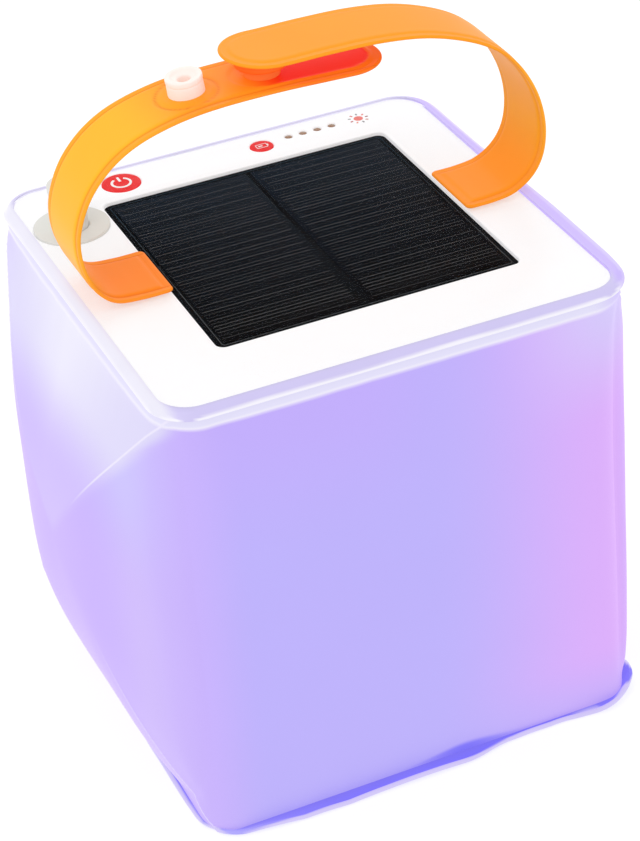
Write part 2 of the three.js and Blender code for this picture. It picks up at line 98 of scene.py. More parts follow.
# Mid-lines of the straps in mm, X and the height above the top film, from tab to free tip.
LEFT_LINE = [(-47, 1.1), (-57, 1.15), (-65.3, 2.3), (-70.6, 6.9), (-73.6, 13.2), (-74.9, 20.6),
             (-74.3, 28), (-71.2, 36.2), (-66.6, 42.8), (-60, 48.6), (-51.5, 52.9), (-39.5, 56),
             (-26, 57.4), (-8, 57.6), (8, 57.1), (30.3, 56.2)]
RIGHT_LINE = [(52.3, 1.1), (61.5, 1.15), (69, 2.4), (75.3, 6.6), (79, 13), (80.1, 21.5),
              (78.8, 30.5), (75.6, 38.8), (70.6, 46.6), (63.7, 53.3), (54, 58.6), (41, 62.9),
              (26.5, 65), (10, 65.6), (-6, 65.6), (-20.5, 66.3)]
LEFT_BEND = ((-71.4, 34), (-61.4, 47))  # where each strap starts and stops bending
RIGHT_BEND = ((80.5, 31), (61, 53.5))


# ---- small helpers

def centre_of(node):
    low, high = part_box(node)
    return (low + high) / 2


def axis_of(node):
    middle = centre_of(node)
    return middle.x, middle.y, 0


def heights(node):
    """A node's lowest and highest points in mm."""
    low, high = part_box(node)
    return low.z / MM, high.z / MM


def half_span(node):
    low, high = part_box(node)
    return (high.x - low.x) / 2


def ease(value, start, end):
    """0 before start, 1 after end, and smooth between them."""
    share = min(max((value - start) / (end - start), 0), 1)
    return share * share * (3 - 2 * share)


def mixed(a, b, share):
    return tuple(p + (q - p) * share for p, q in zip(a, b))


def layered(tone, *coats):
    """A tone with others mixed in one after the other, each given with its share."""
    for other, share in coats:
        tone = mixed(tone, other, share)
    return tone


def linear(red, green, blue):
    """A display colour of 0 to 255 a channel as linear values."""
    def channel(value):
        value /= 255
        return value / 12.92 if value <= 0.04045 else ((value + 0.055) / 1.055) ** 2.4
    return channel(red), channel(green), channel(blue)


def new_object(name, data):
    piece = bpy.data.objects.new(name, data)
    bpy.context.scene.collection.objects.link(piece)
    return piece


def shade(mesh, angle=35):
    mesh.shade_smooth()
    mesh.set_sharp_from_angle(angle=math.radians(angle))


def tidy_mesh(mesh, weld=0.00001):
    """Welds seams and points every face outwards."""
    edit = bmesh.new()
    edit.from_mesh(mesh)
    bmesh.ops.remove_doubles(edit, verts=edit.verts, dist=weld)
    bmesh.ops.dissolve_degenerate(edit, edges=edit.edges, dist=weld / 10)
    bmesh.ops.recalc_face_normals(edit, faces=edit.faces)
    edit.to_mesh(mesh)
    edit.free()


def mesh_piece(name, points, faces, angle=35):
    mesh = bpy.data.meshes.new(name)
    mesh.from_pydata(points, [], faces)
    tidy_mesh(mesh)
    shade(mesh, angle)
    return new_object(name, mesh)


def applied(piece, angle=35):
    """Makes the piece's modifiers part of its mesh."""
    graph = bpy.context.evaluated_depsgraph_get()
    mesh = bpy.data.meshes.new_from_object(piece.evaluated_get(graph))
    piece.modifiers.clear()
    piece.data = mesh
    shade(mesh, angle)
    return piece


def loft(name, rings, closed_along=False, capped=True, angle=35):
    """Closed rings of equal length joined one to the next, with flat ends if capped."""
    count = len(rings[0])
    points = [p for ring in rings for p in ring]
    spans = len(rings) if closed_along else len(rings) - 1
    faces = []
    for i in range(spans):
        a, b = i * count, (i + 1) % len(rings) * count
        faces += [(a + j, a + (j + 1) % count, b + (j + 1) % count, b + j) for j in range(count)]
    if capped and not closed_along:
        faces += [tuple(range(count)), tuple(range(len(points) - count, len(points)))]
    return mesh_piece(name, points, faces, angle)


def lathe(name, axis, outline, segments=96, angle=40):
    """A turned piece from a closed outline of (radius, height) in mm, upright on its axis."""
    rings = []
    for i in range(segments):
        turn = 2 * math.pi * i / segments
        rings.append([(axis[0] + r * MM * math.cos(turn), axis[1] + r * MM * math.sin(turn),
                       axis[2] + z * MM) for r, z in outline])
    return loft(name, rings, closed_along=True, angle=angle)


def rounded(outline, radius, steps=4):
    """A closed outline with each corner turned into a small arc."""
    result = []
    count = len(outline)
    for i, corner in enumerate(outline):
        here = Vector(corner)
        ends = []
        for other in (outline[i - 1], outline[(i + 1) % count]):
            way = Vector(other) - here
            ends.append(here + way.normalized() * min(radius, way.length * 0.45))
        for k in range(steps + 1):
            t = k / steps
            result.append(tuple(ends[0] * (1 - t) ** 2 + here * 2 * t * (1 - t) + ends[1] * t * t))
    return result


def turned_outline(outline, radius=0.4):
    """Rounds an outline's corners, but leaves those that lie on the axis."""
    return [(max(r, 0), z) for r, z in rounded(outline, radius)]


def square_outline(middle, half_x, half_y, corner, steps=12):
    """A rounded rectangle, anticlockwise."""
    result = []
    for k, (sx, sy) in enumerate(((1, 1), (-1, 1), (-1, -1), (1, -1))):
        for i in range(steps + 1):
            turn = math.pi / 2 * (k + i / steps)
            result.append((middle[0] + sx * (half_x - corner) + corner * math.cos(turn),
                           middle[1] + sy * (half_y - corner) + corner * math.sin(turn)))
    return result


def circle_outline(middle, radius, steps=64):
    return [(middle[0] + radius * math.cos(2 * math.pi * i / steps),
             middle[1] + radius * math.sin(2 * math.pi * i / steps)) for i in range(steps)]


def flat_piece(name, edge, holes, low, high, bevel, angle=35):
    """A flat piece between two heights with rounded edges. holes are cut right through."""
    curve = bpy.data.curves.new(name, "CURVE")
    curve.dimensions = "2D"
    curve.fill_mode = "BOTH"
    for outline in [edge] + [list(reversed(hole)) for hole in holes]:
        spline = curve.splines.new("POLY")
        spline.points.add(len(outline) - 1)
        for point, (x, y) in zip(spline.points, outline):
            point.co = (x, y, 0, 1)
        spline.use_cyclic_u = True
    curve.extrude = (high - low) / 2 - bevel
    curve.bevel_depth = bevel
    curve.bevel_resolution = 2
    curve.offset = -bevel
    source = new_object(name + ".curve", curve)
    graph = bpy.context.evaluated_depsgraph_get()
    mesh = bpy.data.meshes.new_from_object(source.evaluated_get(graph))
    bpy.data.objects.remove(source)
    mesh.transform(Matrix.Translation((0, 0, (low + high) / 2)))
    tidy_mesh(mesh)
    shade(mesh, angle)
    return new_object(name, mesh)


def block(name, low, high, bevel, segments=3):
    """A moulded block between two corners, with rounded edges."""
    edit = bmesh.new()
    bmesh.ops.create_cube(edit, size=1)
    size, middle = Vector(high) - Vector(low), (Vector(high) + Vector(low)) / 2
    for vert in edit.verts:
        vert.co = Vector(a * b for a, b in zip(vert.co, size)) + middle
    bmesh.ops.bevel(edit, geom=edit.edges[:], offset=bevel, segments=segments, profile=0.5,
                    affect="EDGES")
    mesh = bpy.data.meshes.new(name)
    edit.to_mesh(mesh)
    edit.free()
    shade(mesh, 50)
    return new_object(name, mesh)


def joined(name, pieces):
    """Several closed shells as one piece."""
    edit = bmesh.new()
    for piece in pieces:
        edit.from_mesh(piece.data)
    mesh = bpy.data.meshes.new(name)
    edit.to_mesh(mesh)
    edit.free()
    for piece in pieces:
        bpy.data.objects.remove(piece)
    shade(mesh, 40)
    return new_object(name, mesh)


def painted(piece, colour_at):
    """Stores a colour for each vertex, from its place, for materials that take theirs from it."""
    colours = piece.data.color_attributes.new("tone", "FLOAT_COLOR", "POINT")
    for vert, item in zip(piece.data.vertices, colours.data):
        item.color = (*colour_at(vert.co), 1)


def fit(piece, body, slot, finish, *nodes):
    """Puts a piece on its body with its material and the nodes that it stands for. slot is not
    used.
    """
    piece.data.materials.clear()
    piece.data.materials.append(finish)
    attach(piece, body)
    if nodes:
        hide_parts(*nodes)
    return piece


# ---- camera, light and floor

CAMERA_TURN = math.radians(-21.9)
CAMERA_RISE = math.radians(33.5)
CAMERA_ROLL = math.radians(-4.2)
CAMERA_DISTANCE = 0.8635
CAMERA_TARGET = Vector((0.0062, 0.0108, 0.083))
CAMERA_LENS = 111.3


def make_camera():
    camera = new_object("camera", bpy.data.cameras.new("camera"))
    camera.data.lens = CAMERA_LENS
    camera.data.sensor_width = 36
    camera.data.clip_start = 0.01
    level = math.cos(CAMERA_RISE)
    back = Vector((math.sin(CAMERA_TURN) * level, -math.cos(CAMERA_TURN) * level,
                   math.sin(CAMERA_RISE)))
    right = (-back).cross(Vector((0, 0, 1))).normalized()
    up = right.cross(-back)
    right, up = (right * math.cos(CAMERA_ROLL) + up * math.sin(CAMERA_ROLL),
                 up * math.cos(CAMERA_ROLL) - right * math.sin(CAMERA_ROLL))
    turn = Matrix((right, up, back)).transposed()
    camera.matrix_world = Matrix.Translation(CAMERA_TARGET + back * CAMERA_DISTANCE) @ turn.to_4x4()
    bpy.context.scene.camera = camera


def make_light(name, place, power, size):
    lamp = new_object(name, bpy.data.lights.new(name, "AREA"))
    lamp.data.energy = power
    lamp.data.size = size
    lamp.location = place
    lamp.rotation_euler = (Vector((0, 0, 0.1)) - Vector(place)).to_track_quat("-Z", "Y").to_euler()


def make_stage():
    scene = bpy.context.scene
    scene.view_settings.view_transform = "Standard"
    scene.world = bpy.data.worlds.new("studio")
    scene.world.use_nodes = True
    backdrop = scene.world.node_tree.nodes["Background"]
    backdrop.inputs["Color"].default_value = (1, 1, 1, 1)
    backdrop.inputs["Strength"].default_value = 0.95
    make_light("key_light", (-0.7, -0.5, 1.1), 3, 0.7)
    make_light("back_light", (0.5, 0.9, 0.9), 1.5, 0.8)
    half = 4
    floor = mesh_piece("floor", [(-half, -half, 0), (half, -half, 0), (half, half, 0),
                                 (-half, half, 0)], [(0, 1, 2, 3)])
    floor.location.z = -0.0002
    floor.data.materials.append(finish("floor_paper", (0.95, 0.95, 0.955), 0.7, mottle=0.01,
                                       glow=0.76, body=0.33))


# ---- materials

def set_inputs(material, node, inputs):
    """Sets a node's inputs to values, or joins them to other nodes' outputs."""
    for socket, value in inputs.items():
        if isinstance(value, bpy.types.NodeSocket):
            material.node_tree.links.new(value, node.inputs[socket])
        else:
            node.inputs[socket].default_value = value


def add_node(material, kind, inputs=None, **settings):
    node = material.node_tree.nodes.new("ShaderNode" + kind)
    for name, value in settings.items():
        setattr(node, name, value)
    set_inputs(material, node, inputs or {})
    return node


def scaled(material, colour, share):
    """A colour times a share, either of them a value or an output."""
    return add_node(material, "VectorMath", {0: colour, "Scale": share},
                    operation="SCALE").outputs["Vector"]


def finish(name, colour, roughness, mottle=0.05, mottle_size=0.02, grain=0.05, grain_size=0.0006,
           glow=0.0, body=None, gloss=0.5, alpha=1.0, metallic=0.0):
    """A material with a cloudy colour variation and a fine surface grain.

    Without a colour it takes the one that painted() stored on the vertices. glow is the share
    of the colour that shines, and body the share that reflects, the rest unless it is given.
    """
    material = bpy.data.materials.new(name)
    material.use_nodes = True
    shader = material.node_tree.nodes["Principled BSDF"]
    set_inputs(material, shader, {"Roughness": roughness, "Specular IOR Level": gloss,
                                  "Alpha": alpha, "Metallic": metallic})
    place = add_node(material, "TexCoord").outputs["Object"]
    clouds = add_node(material, "TexNoise",
                      {"Scale": 1 / mottle_size, "Detail": 4, "Vector": place})
    spread = add_node(material, "MapRange", {"To Min": 1 - mottle, "To Max": 1 + mottle,
                                             "Value": clouds.outputs["Fac"]})
    if colour is None:
        colour = add_node(material, "Attribute", attribute_name="tone").outputs["Color"]
    tone = scaled(material, colour, spread.outputs["Result"])
    if glow:
        body = 1 - glow if body is None else body
        set_inputs(material, shader, {"Base Color": scaled(material, tone, body),
                                      "Emission Color": scaled(material, tone, glow),
                                      "Emission Strength": 1})
    else:
        set_inputs(material, shader, {"Base Color": tone})
    speckle = add_node(material, "TexNoise",
                       {"Scale": 1 / grain_size, "Detail": 2, "Vector": place})
    bump = add_node(material, "Bump", {"Strength": grain, "Distance": 0.0002,
                                       "Height": speckle.outputs["Fac"]})
    set_inputs(material, shader, {"Normal": bump.outputs["Normal"]})
    return material


# Painted highlight along the bag's creases: its half-width and its colour.
FOLD_HIGHLIGHT_HALF = 0.9  # mm
FOLD_HIGHLIGHT_TONE = linear(240, 235, 255)


def paint_fold_highlight(material):
    """Paints a highlight along the film's creases, whose distance and strength the mesh holds in
    "fold".
    """
    source = next(node for node in material.node_tree.nodes if node.type == "ATTRIBUTE")
    tone = source.outputs["Color"].links[0].to_socket
    fold = add_node(material, "Attribute", attribute_name="fold")
    split = add_node(material, "SeparateXYZ", {"Vector": fold.outputs["Vector"]})
    size = add_node(material, "Math", {0: split.outputs["X"]}, operation="ABSOLUTE")
    near = add_node(material, "MapRange",
                    {"From Min": 0.0, "From Max": FOLD_HIGHLIGHT_HALF, "To Min": 1.0, "To Max": 0.0,
                     "Value": size.outputs["Value"]}, interpolation_type="SMOOTHSTEP")
    share = add_node(material, "Math", {0: near.outputs["Result"], 1: split.outputs["Y"]},
                     operation="MULTIPLY")
    blend = add_node(material, "Mix", {"B": (*FOLD_HIGHLIGHT_TONE, 1)}, data_type="RGBA")
    set_inputs(material, blend, {"Factor": share.outputs["Value"], "A": source.outputs["Color"]})
    material.node_tree.links.new(blend.outputs["Result"], tone)


make_camera()
make_stage()

# Films, then plastics and prints, then the solar panel.
bag_finish = finish("frosted_film", None, 0.42, mottle=0.012, mottle_size=0.035, grain=0.04,
                    glow=0.6, body=0.34, gloss=0.1)
paint_fold_highlight(bag_finish)
rim_finish = finish("rim_film", None, 0.3, mottle=0.03, mottle_size=0.012, glow=0.6, body=0.34,
                    gloss=0.25)
cover_film = finish("clear_film", (0.03, 0.03, 0.035), 0.22, mottle=0.01, grain=0.02, gloss=0.1,
                    alpha=0.015)
# The straps' glow is painted light, to keep the orange bright.
strap_finish = finish("strap_film", None, 0.4, mottle=0.03, mottle_size=0.015, grain=0.12,
                      grain_size=0.0009, glow=0.3, body=0.68, gloss=0.1)
# The white plastic's glow is painted light, to keep it near white.
white_plastic = finish("white_plastic", (0.93, 0.93, 0.945), 0.38, mottle=0.01, grain=0.06,
                       glow=0.58, body=0.48, gloss=0.1)
# Socket ring: orange like the strap, darker with painted shade of the gap between the straps, and a
# painted glow.
shaded_socket_finish = finish("strap_moulding", linear(255, 116, 40), 0.4, glow=0.15, gloss=0.1)
# The hidden stud: the white snap plastic with painted orange light and shade from between the
# straps, and a painted glow.
shaded_snap = finish("snap_shaded", linear(255, 138, 66), 0.35, mottle=0.03, mottle_size=0.004,
                     glow=0.2, gloss=0.1)
# The snap plastic's glow is painted light.
snap_finish = finish("snap_plastic", linear(253, 236, 229), 0.32, mottle=0.03, mottle_size=0.004,
                     glow=0.22, gloss=0.25)
# The red print's glow is painted light.
red_finish = finish("red_print", linear(232, 34, 36), 0.4, mottle=0.04, mottle_size=0.004,
                    glow=0.1, gloss=0.1)
ink_white = finish("white_print", (0.9, 0.88, 0.88), 0.4, mottle=0.02, gloss=0.1)
# The valve plastic's glow is painted light, to lighten it.
valve_finish = finish("valve_plastic", linear(222, 222, 217), 0.35, mottle=0.03,
                      mottle_size=0.008, glow=0.12, body=0.86, gloss=0.1)
port_finish = finish("port_rubber", linear(205, 205, 208), 0.6, mottle=0.04, grain=0.2, gloss=0.25)
lens_finish = finish("indicator_lens", linear(150, 112, 84), 0.25, mottle=0.15, mottle_size=0.001)
laminate = finish("solar_board", (0.004, 0.005, 0.007), 0.35, mottle=0.15, gloss=0.01)
cell_finish = finish("solar_cell", None, 0.4, mottle=0.06, mottle_size=0.006, grain=0.01,
                     gloss=0.01)
solar_cover = finish("solar_clear", (0.02, 0.025, 0.035), 0.15, mottle=0.05, grain=0.01,
                     gloss=0.02, alpha=0.03)


# ---- bag

def square_point(turn, half, corner):
    """A point on a rounded square and its outward direction.

    turn goes from 0 to 4, with a whole number at the middle of each side, from the front
    to the right. Also returned: the side's number, and how far along it the point is, -1 to 1.
    """
    side = int(turn + 0.5)
    along = (turn - side) * 2
    flat = half - corner
    reach = abs(along) * (flat + corner * math.pi / 4)
    bend = max(reach - flat, 0) / corner
    x = min(reach, flat) + corner * math.sin(bend)
    y = -flat - corner * math.cos(bend)
    sign = math.copysign(1, along)
    spin = Matrix.Rotation(math.pi / 2 * side, 2)
    place = spin @ Vector((sign * x, y))
    way = spin @ Vector((sign * math.sin(bend), -math.cos(bend)))
    return place, way, side % 4, along


def fold_level(along, rise, sharpness):
    """How near a side's point is to its edges, with a soft fold along both diagonals."""
    level = (abs(along) ** sharpness + abs(rise) ** sharpness) ** (1 / sharpness)
    return min(level, 1)


def round_noise(turn, waves, level):
    """Noise that closes on itself round the square."""
    angle = math.pi / 2 * turn
    return noise.noise(Vector((waves * math.cos(angle), waves * math.sin(angle), level)))


def film_ripple(turn, height, along, rise):
    """Puckers beside the welds, tension folds at the corners and slow waves, in metres."""
    above, below = BAG_TOP - height, height - BAG_BOTTOM
    held = 1 - math.exp(-min(above, below) / (4 * MM))
    near_weld = math.exp(-above / (9 * MM)) + math.exp(-below / (10 * MM))
    pucker = round_noise(turn, 12, height / (30 * MM) + 3.1) * near_weld
    across, up = 1 - abs(along), 1 - abs(rise)
    away = math.hypot(across, up)
    phase = 5 * math.sin(math.pi / 2 * turn)
    fan = math.sin(math.atan2(up, across) * 9 + phase) * math.exp(-away / 0.22)
    fan *= ease(away, 0.06, 0.2)
    slow = round_noise(turn, 1.7, height / (60 * MM) + 9.7)
    return held * (0.5 * pucker + 0.32 * fan + 0.9 * slow) * MM


def fold_at(along, rise):
    """A side point's distance in mm from the fold along its diagonal, and the fold's strength."""
    distance = (abs(rise) - abs(along)) * BAG_HALF / MM
    away = math.hypot(1 - abs(along), 1 - abs(rise))
    return distance, (1 - ease(away, 0.5, 1.05)) * (1 if rise > 0 else 0.6)


def fold_ridge(along, rise):
    """The low sharp ridge along the fold, in metres."""
    distance, strength = fold_at(along, rise)
    return 0.7 * MM * strength * math.exp(-abs(distance) / 2.2)


def bag_point(turn, share):
    """A point of the bag at a turn round it and at a share of its height."""
    height = BAG_BOTTOM + (BAG_TOP - BAG_BOTTOM) * share
    rise = 2 * share - 1
    half = BAG_HALF - BAG_FOOT_INSET * math.exp(-(height - BAG_BOTTOM) / (5 * MM))
    foot = FOOT_CORNERS[1 if 0 < turn < 2 else 0]
    corner = foot + (RIM_BAG_CORNER - foot) * share + BAG_ROUNDING * (1 - rise * rise) ** 0.75
    place, way, side, along = square_point(turn, half, corner)
    if side % 2:
        power = 2.2 - 0.5 * ease(rise, 0.2, 0.8)
        sharpness = FOLD_SHARPNESS[1 if side == 3 and rise < 0 else 0]
        stand = SIDE_BULGE * (1 - fold_level(along, rise, sharpness) ** power)
        stand += fold_ridge(along, rise)
    else:
        stand = FACE_BULGE * (1 - along ** 2) * (1 - rise ** 2)
    skirt = SKIRT_STEP * (1 - ease(TOP - height, SKIRT_DROP, SKIRT_DROP + 0.8 * MM))
    place += way * (stand + skirt + film_ripple(turn, height, along, rise))
    return place.x, place.y, height


BLUE = linear(193, 181, 255)
VIOLET = linear(199, 174, 255)
PINK = linear(224, 177, 255)
PALE_LILAC = linear(216, 205, 254)
# Painted shade at the left side's silhouette, where the film turns away.
SILHOUETTE_SHADE = linear(200, 174, 255)
LEFT_EDGE = linear(203, 181, 255)
# Painted shade along the front's right edge, where the film turns away.
RIGHT_EDGE_SHADE = linear(207, 167, 251)
FLARE_TONE = linear(142, 132, 255)
# Painted light and shade on the side folds: paler on the faces above the diagonal crease, darker
# beside and below it.
LIT_OVER_FOLD = linear(225, 220, 251)
LIT_HIGH_OVER_FOLD = linear(240, 238, 254)
SHADED_BESIDE_FOLD = linear(207, 198, 255)
SKIRT_TONE = linear(231, 228, 253)
# Painted highlight along the skirt's lower edge.
SKIRT_EDGE_HIGHLIGHT = linear(250, 247, 255)
SHADED_UNDER_FOLD = linear(210, 190, 253)
BACK_TONE = linear(201, 184, 255)
# On the right, the skirt and the rim's lip take this tone in place of their painted highlight.
RIGHT_LIP_TONE = linear(216, 203, 255)  # of the skirt and the rim's edge, on the right


def flare_at(x):
    """How much the front's foot lifts and shows the flange at X in mm, in tone only: most near the
    middle.
    """
    return math.exp(-((x - 14) / 16) ** 2)


# The bag's tone holds painted light and shade: on the side folds' faces, at the silhouettes and
# along the skirt's edge.
def bag_tone(place):
    """The lit film's colour: bluer at the front's lower left, pinker right, paler high up left."""
    x, y, z = place.x / MM, place.y / MM, place.z / MM
    over = z - 80 - abs(y)
    under = 80 - z - abs(y)
    # The left side: painted light and shade on the folds' faces, and painted shade at its
    # silhouette.
    left_tone = layered(
        SHADED_UNDER_FOLD, (SHADED_BESIDE_FOLD, ease(z, 85, 130)),
        (mixed(LIT_OVER_FOLD, LIT_HIGH_OVER_FOLD, ease(over, 10, 75)), ease(over, -4, 4)),
        (SHADED_UNDER_FOLD, ease(under, -12, 12)), (SILHOUETTE_SHADE, 0.7 * ease(-x, 82, 91)))
    left_tone = mixed(LEFT_EDGE, left_tone, max(ease(y, -78, -50), ease(over, -4, 4)))
    tone = layered(
        BLUE, (PINK, ease(x, 0, 72)), (VIOLET, 0.7 * ease(z, 100, 156) * (1 - ease(x, -20, 30))),
        (PALE_LILAC, ease(z, 112, 158) * ease(x, 25, 70)), (BLUE, 0.6 * (1 - ease(z, 0, 28))),
        (LEFT_EDGE, ease(-x, 54, 74)),
        (RIGHT_EDGE_SHADE, 0.8 * ease(x, 70, 80) * (1 - ease(z, 110, 150))),
        (left_tone, ease(-x, 68, 76)),
        (mixed(BACK_TONE, PALE_LILAC, ease(z, 30, 158)), 0.75 * ease(y, 45, 78)))
    if abs(x) < 40 and y < 0:
        flare = flare_at(x)
        tone = mixed(tone, FLARE_TONE, flare * (1 - ease(z, 1 + 3 * flare, 2 + 4.5 * flare)))
    below = (TOP - place.z - SKIRT_DROP) / MM
    right = ease(x, 60, 74)
    # The pale skirt under the rim, with a painted highlight along its lower edge except on the
    # right.
    return layered(
        tone, (mixed(SKIRT_TONE, RIGHT_LIP_TONE, right), 1 - ease(below, -0.4, 0.4)),
        (SKIRT_EDGE_HIGHLIGHT, (1 - right) * max(1 - abs(below) / 0.8, 0)))


def store_folds(bag):
    """Writes the creases' distance and strength on every vertex, for the material."""
    middle = (BAG_TOP + BAG_BOTTOM) / 2
    folds = bag.data.attributes.new("fold", "FLOAT_VECTOR", "POINT")
    for vert, item in zip(bag.data.vertices, folds.data):
        on_side = ease(abs(vert.co.x), 69 * MM, 71.5 * MM) * (1 if vert.co.x < 0 else 0.35)
        along = min(abs(vert.co.y) / FOLD_END, 1)
        rise = (vert.co.z - middle) / (BAG_TOP - middle)
        distance, strength = fold_at(along, rise)
        item.vector = (distance, strength * on_side, 0)


def make_bag():
    round_count, level_count = 420, 132
    rings = []
    for i in range(level_count + 1):
        share = (1 - math.cos(math.pi * i / level_count)) / 2 * 0.4 + i / level_count * 0.6
        rings.append([bag_point(-0.5 + 4 * j / round_count, share) for j in range(round_count)])
    bag = loft("bag_film", rings, capped=False, angle=60)
    shell = bag.modifiers.new("film", "SOLIDIFY")
    shell.thickness = BAG_FILM
    shell.offset = -1
    applied(bag, 60)
    painted(bag, bag_tone)
    store_folds(bag)
    fit(bag, "base", "frosted_film", bag_finish, "wall_front", "wall_back", "wall_left",
        "wall_right")
    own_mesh(bag)


# ---- welded rims and films

RIM_HALF = 73.2 * MM  # where the rim leaves the top film
RIM_CORNER = 10.2 * MM
# Painted highlight along the rim's curled lip, left out on the right.
LIP_HIGHLIGHT = linear(248, 246, 255)
BAND_TONE = linear(211, 203, 245)
BEVEL_TONE = linear(203, 198, 232)
RIGHT_BAND_TONE = linear(205, 186, 255)
LEFT_BAND_TONE = linear(239, 237, 251)


def swept(name, section_at, half_at, corner, count=360):
    """A closed section carried round a rounded square. Section points are (outward, height)."""
    rings = []
    for i in range(count):
        turn = -0.5 + 4 * i / count
        ring = []
        for outward, height in section_at(turn):
            place, way, _, _ = square_point(turn, half_at, corner)
            place += way * outward
            ring.append((place.x, place.y, height))
        rings.append(ring)
    return loft(name, rings, closed_along=True, angle=50)


def outside_by(place, half, corner):
    """How far a point lies outside a rounded square, in mm: beside it and past its corners."""
    line, diagonal = max(abs(place.x), abs(place.y)), abs(place.x) + abs(place.y)
    corner_line = 2 * half - 2 * corner * (1 - math.sqrt(0.5))
    return max(line - half, (diagonal - corner_line) / math.sqrt(2)) / MM


def rim_spread(turn):
    """How much the rim stands out flat instead of folding down: along the right side."""
    return ease(turn, 0.4, 0.62) * (1 - 0.55 * ease(turn, 0.8, 1.4)) * (1 - ease(turn, 1.4, 1.6))


def make_top_rim():
    """The welded edge of the top film: it curls down over the bag, or spreads flat."""
    def section(turn):
        wave = 0.35 * round_noise(turn, 4.5, 1.7)
        spread = rim_spread(turn)
        drop = -2.7 + wave * 0.5 + 1.9 * spread
        out = 3.15 + wave * 0.4 + 1.2 * spread
        scale = (drop + 0.6) / -2.1
        top = [(0.0, -0.05), (0.33 * out, -0.2 * scale), (0.58 * out, -0.75 * scale),
               (0.8 * out, -1.55 * scale), (out - 0.25, drop + 0.6 - 0.35 * spread)]
        lip = [(out + 0.3 * math.cos(a), drop + 0.3 * math.sin(a))
               for a in (1.2, 0.5, 0, -0.6, -1.3, -2.0, -2.7)]
        under = [(out - 0.6, drop + 0.4 - 0.8 * spread), (1.5 + 0.8 * spread, -1.7 - 1.3 * spread),
                 (0.9 + 0.6 * spread, -1.1 - 1.9 * spread), (0.4, -0.7), (0, -0.55)]
        return [(x * MM, TOP + z * MM) for x, z in top + lip + under]

    rim = swept("top_rim_film", section, RIM_HALF, RIM_CORNER)

    def tone(place):
        out = outside_by(place, RIM_HALF, RIM_CORNER)
        right = ease(place.x, 70 * MM, 74 * MM)
        left = ease(-place.x, 70 * MM, 74 * MM)
        left = max(left, 0.7 * ease(place.y, 70 * MM, 74 * MM) * (1 - right))
        band = mixed(mixed(BAND_TONE, RIGHT_BAND_TONE, right), LEFT_BAND_TONE, left)
        tone = mixed(mixed(BEVEL_TONE, band, max(left, right)), band, ease(out, 0.2, 0.6))
        # the lip: painted highlight, except on the right
        return mixed(tone, mixed(LIP_HIGHLIGHT, RIGHT_LIP_TONE, right), ease(out, 2.75, 3.05))

    painted(rim, tone)
    fit(rim, "head", "clear_film", rim_finish, "top_rim")


def make_top_film():
    half = RIM_HALF + 0.1 * MM
    edge = square_outline((0, 0), half, half, RIM_CORNER + 0.1 * MM, 16)
    hole = circle_outline(centre_of("valve_flange"), VALVE_DISC + 0.3 * MM, 96)
    film = flat_piece("top_cover_film", edge, [hole], TOP - 0.38 * MM, TOP - 0.04 * MM, 0.12 * MM)
    fit(film, "head", "clear_film", cover_film, "top_film")


FLANGE_HALF = 71 * MM  # where the flange leaves the floor panel
FLANGE_CORNER = 9 * MM
FLANGE_TONE = linear(136, 126, 255)
FLANGE_LEFT_TONE = linear(150, 140, 255)
FLANGE_CORNER_TONE = linear(178, 170, 254)
FLANGE_ROOT_TONE = linear(138, 127, 246)
BEAD_TONE = linear(214, 204, 251)
FLOOR_PANEL_TONE = linear(196, 184, 252)


def apart(turn, mark):
    """The distance between two turns round the square, the short way."""
    gap = abs(turn - mark) % 4
    return min(gap, 4 - gap)


def flange_reach(turn):
    """How far the flange stands out in mm: most on the front's left, least on the left side."""
    wave = 0.5 * round_noise(turn, 3.5, 4.4)
    front = 1 - ease(apart(turn, 0), 0.46, 0.56)
    narrow = front * ease(turn, 0.08, 0.22) * (1 - 0.6 * ease(turn, 0.34, 0.48))
    side = math.exp(-(apart(turn, 3) / 0.5) ** 4)
    corners = math.exp(-(apart(turn, 3.5) / 0.12) ** 2) + math.exp(-(apart(turn, 2.5) / 0.12) ** 2)
    hook = 1.6 * math.exp(-((turn - 0.55) / 0.08) ** 2)
    return 8.6 + wave + hook + 0.7 * front - 3.2 * narrow - 3.4 * side - 2.1 * corners


def flange_lift(turn):
    """How far the flange's outer edge curls up in mm: most at the flare and at one corner."""
    flare = math.exp(-((turn - 0.02) / 0.09) ** 2)
    corner = math.exp(-((turn - 0.52) / 0.05) ** 2)
    return 0.3 + 0.8 * abs(round_noise(turn, 5, 2.3)) + 0.5 * flare + 3.4 * corner


def turn_at(place):
    """The turn round the square at which a point of the flange lies."""
    whole = 2 * (FLANGE_HALF + 8 * MM)
    if abs(place.y) > abs(place.x):
        return place.x / whole if place.y < 0 else 2 - place.x / whole
    return 1 + place.y / whole if place.x > 0 else 3 - place.y / whole


def flange_tone(place):
    """A saturated band between the bag and a pale outer bead."""
    reach = flange_reach(turn_at(place))
    out = outside_by(place, FLANGE_HALF, FLANGE_CORNER)
    band = layered(FLANGE_LEFT_TONE, (FLANGE_TONE, ease(place.x, -0.06, -0.02)),
                   (FLANGE_CORNER_TONE, ease(-place.x - place.y, 0.126, 0.146)))
    return layered(FLANGE_ROOT_TONE, (band, ease(out, 3.1, 3.7)),
                   (BEAD_TONE, ease(out, reach - 1.5, reach - 1.0)))


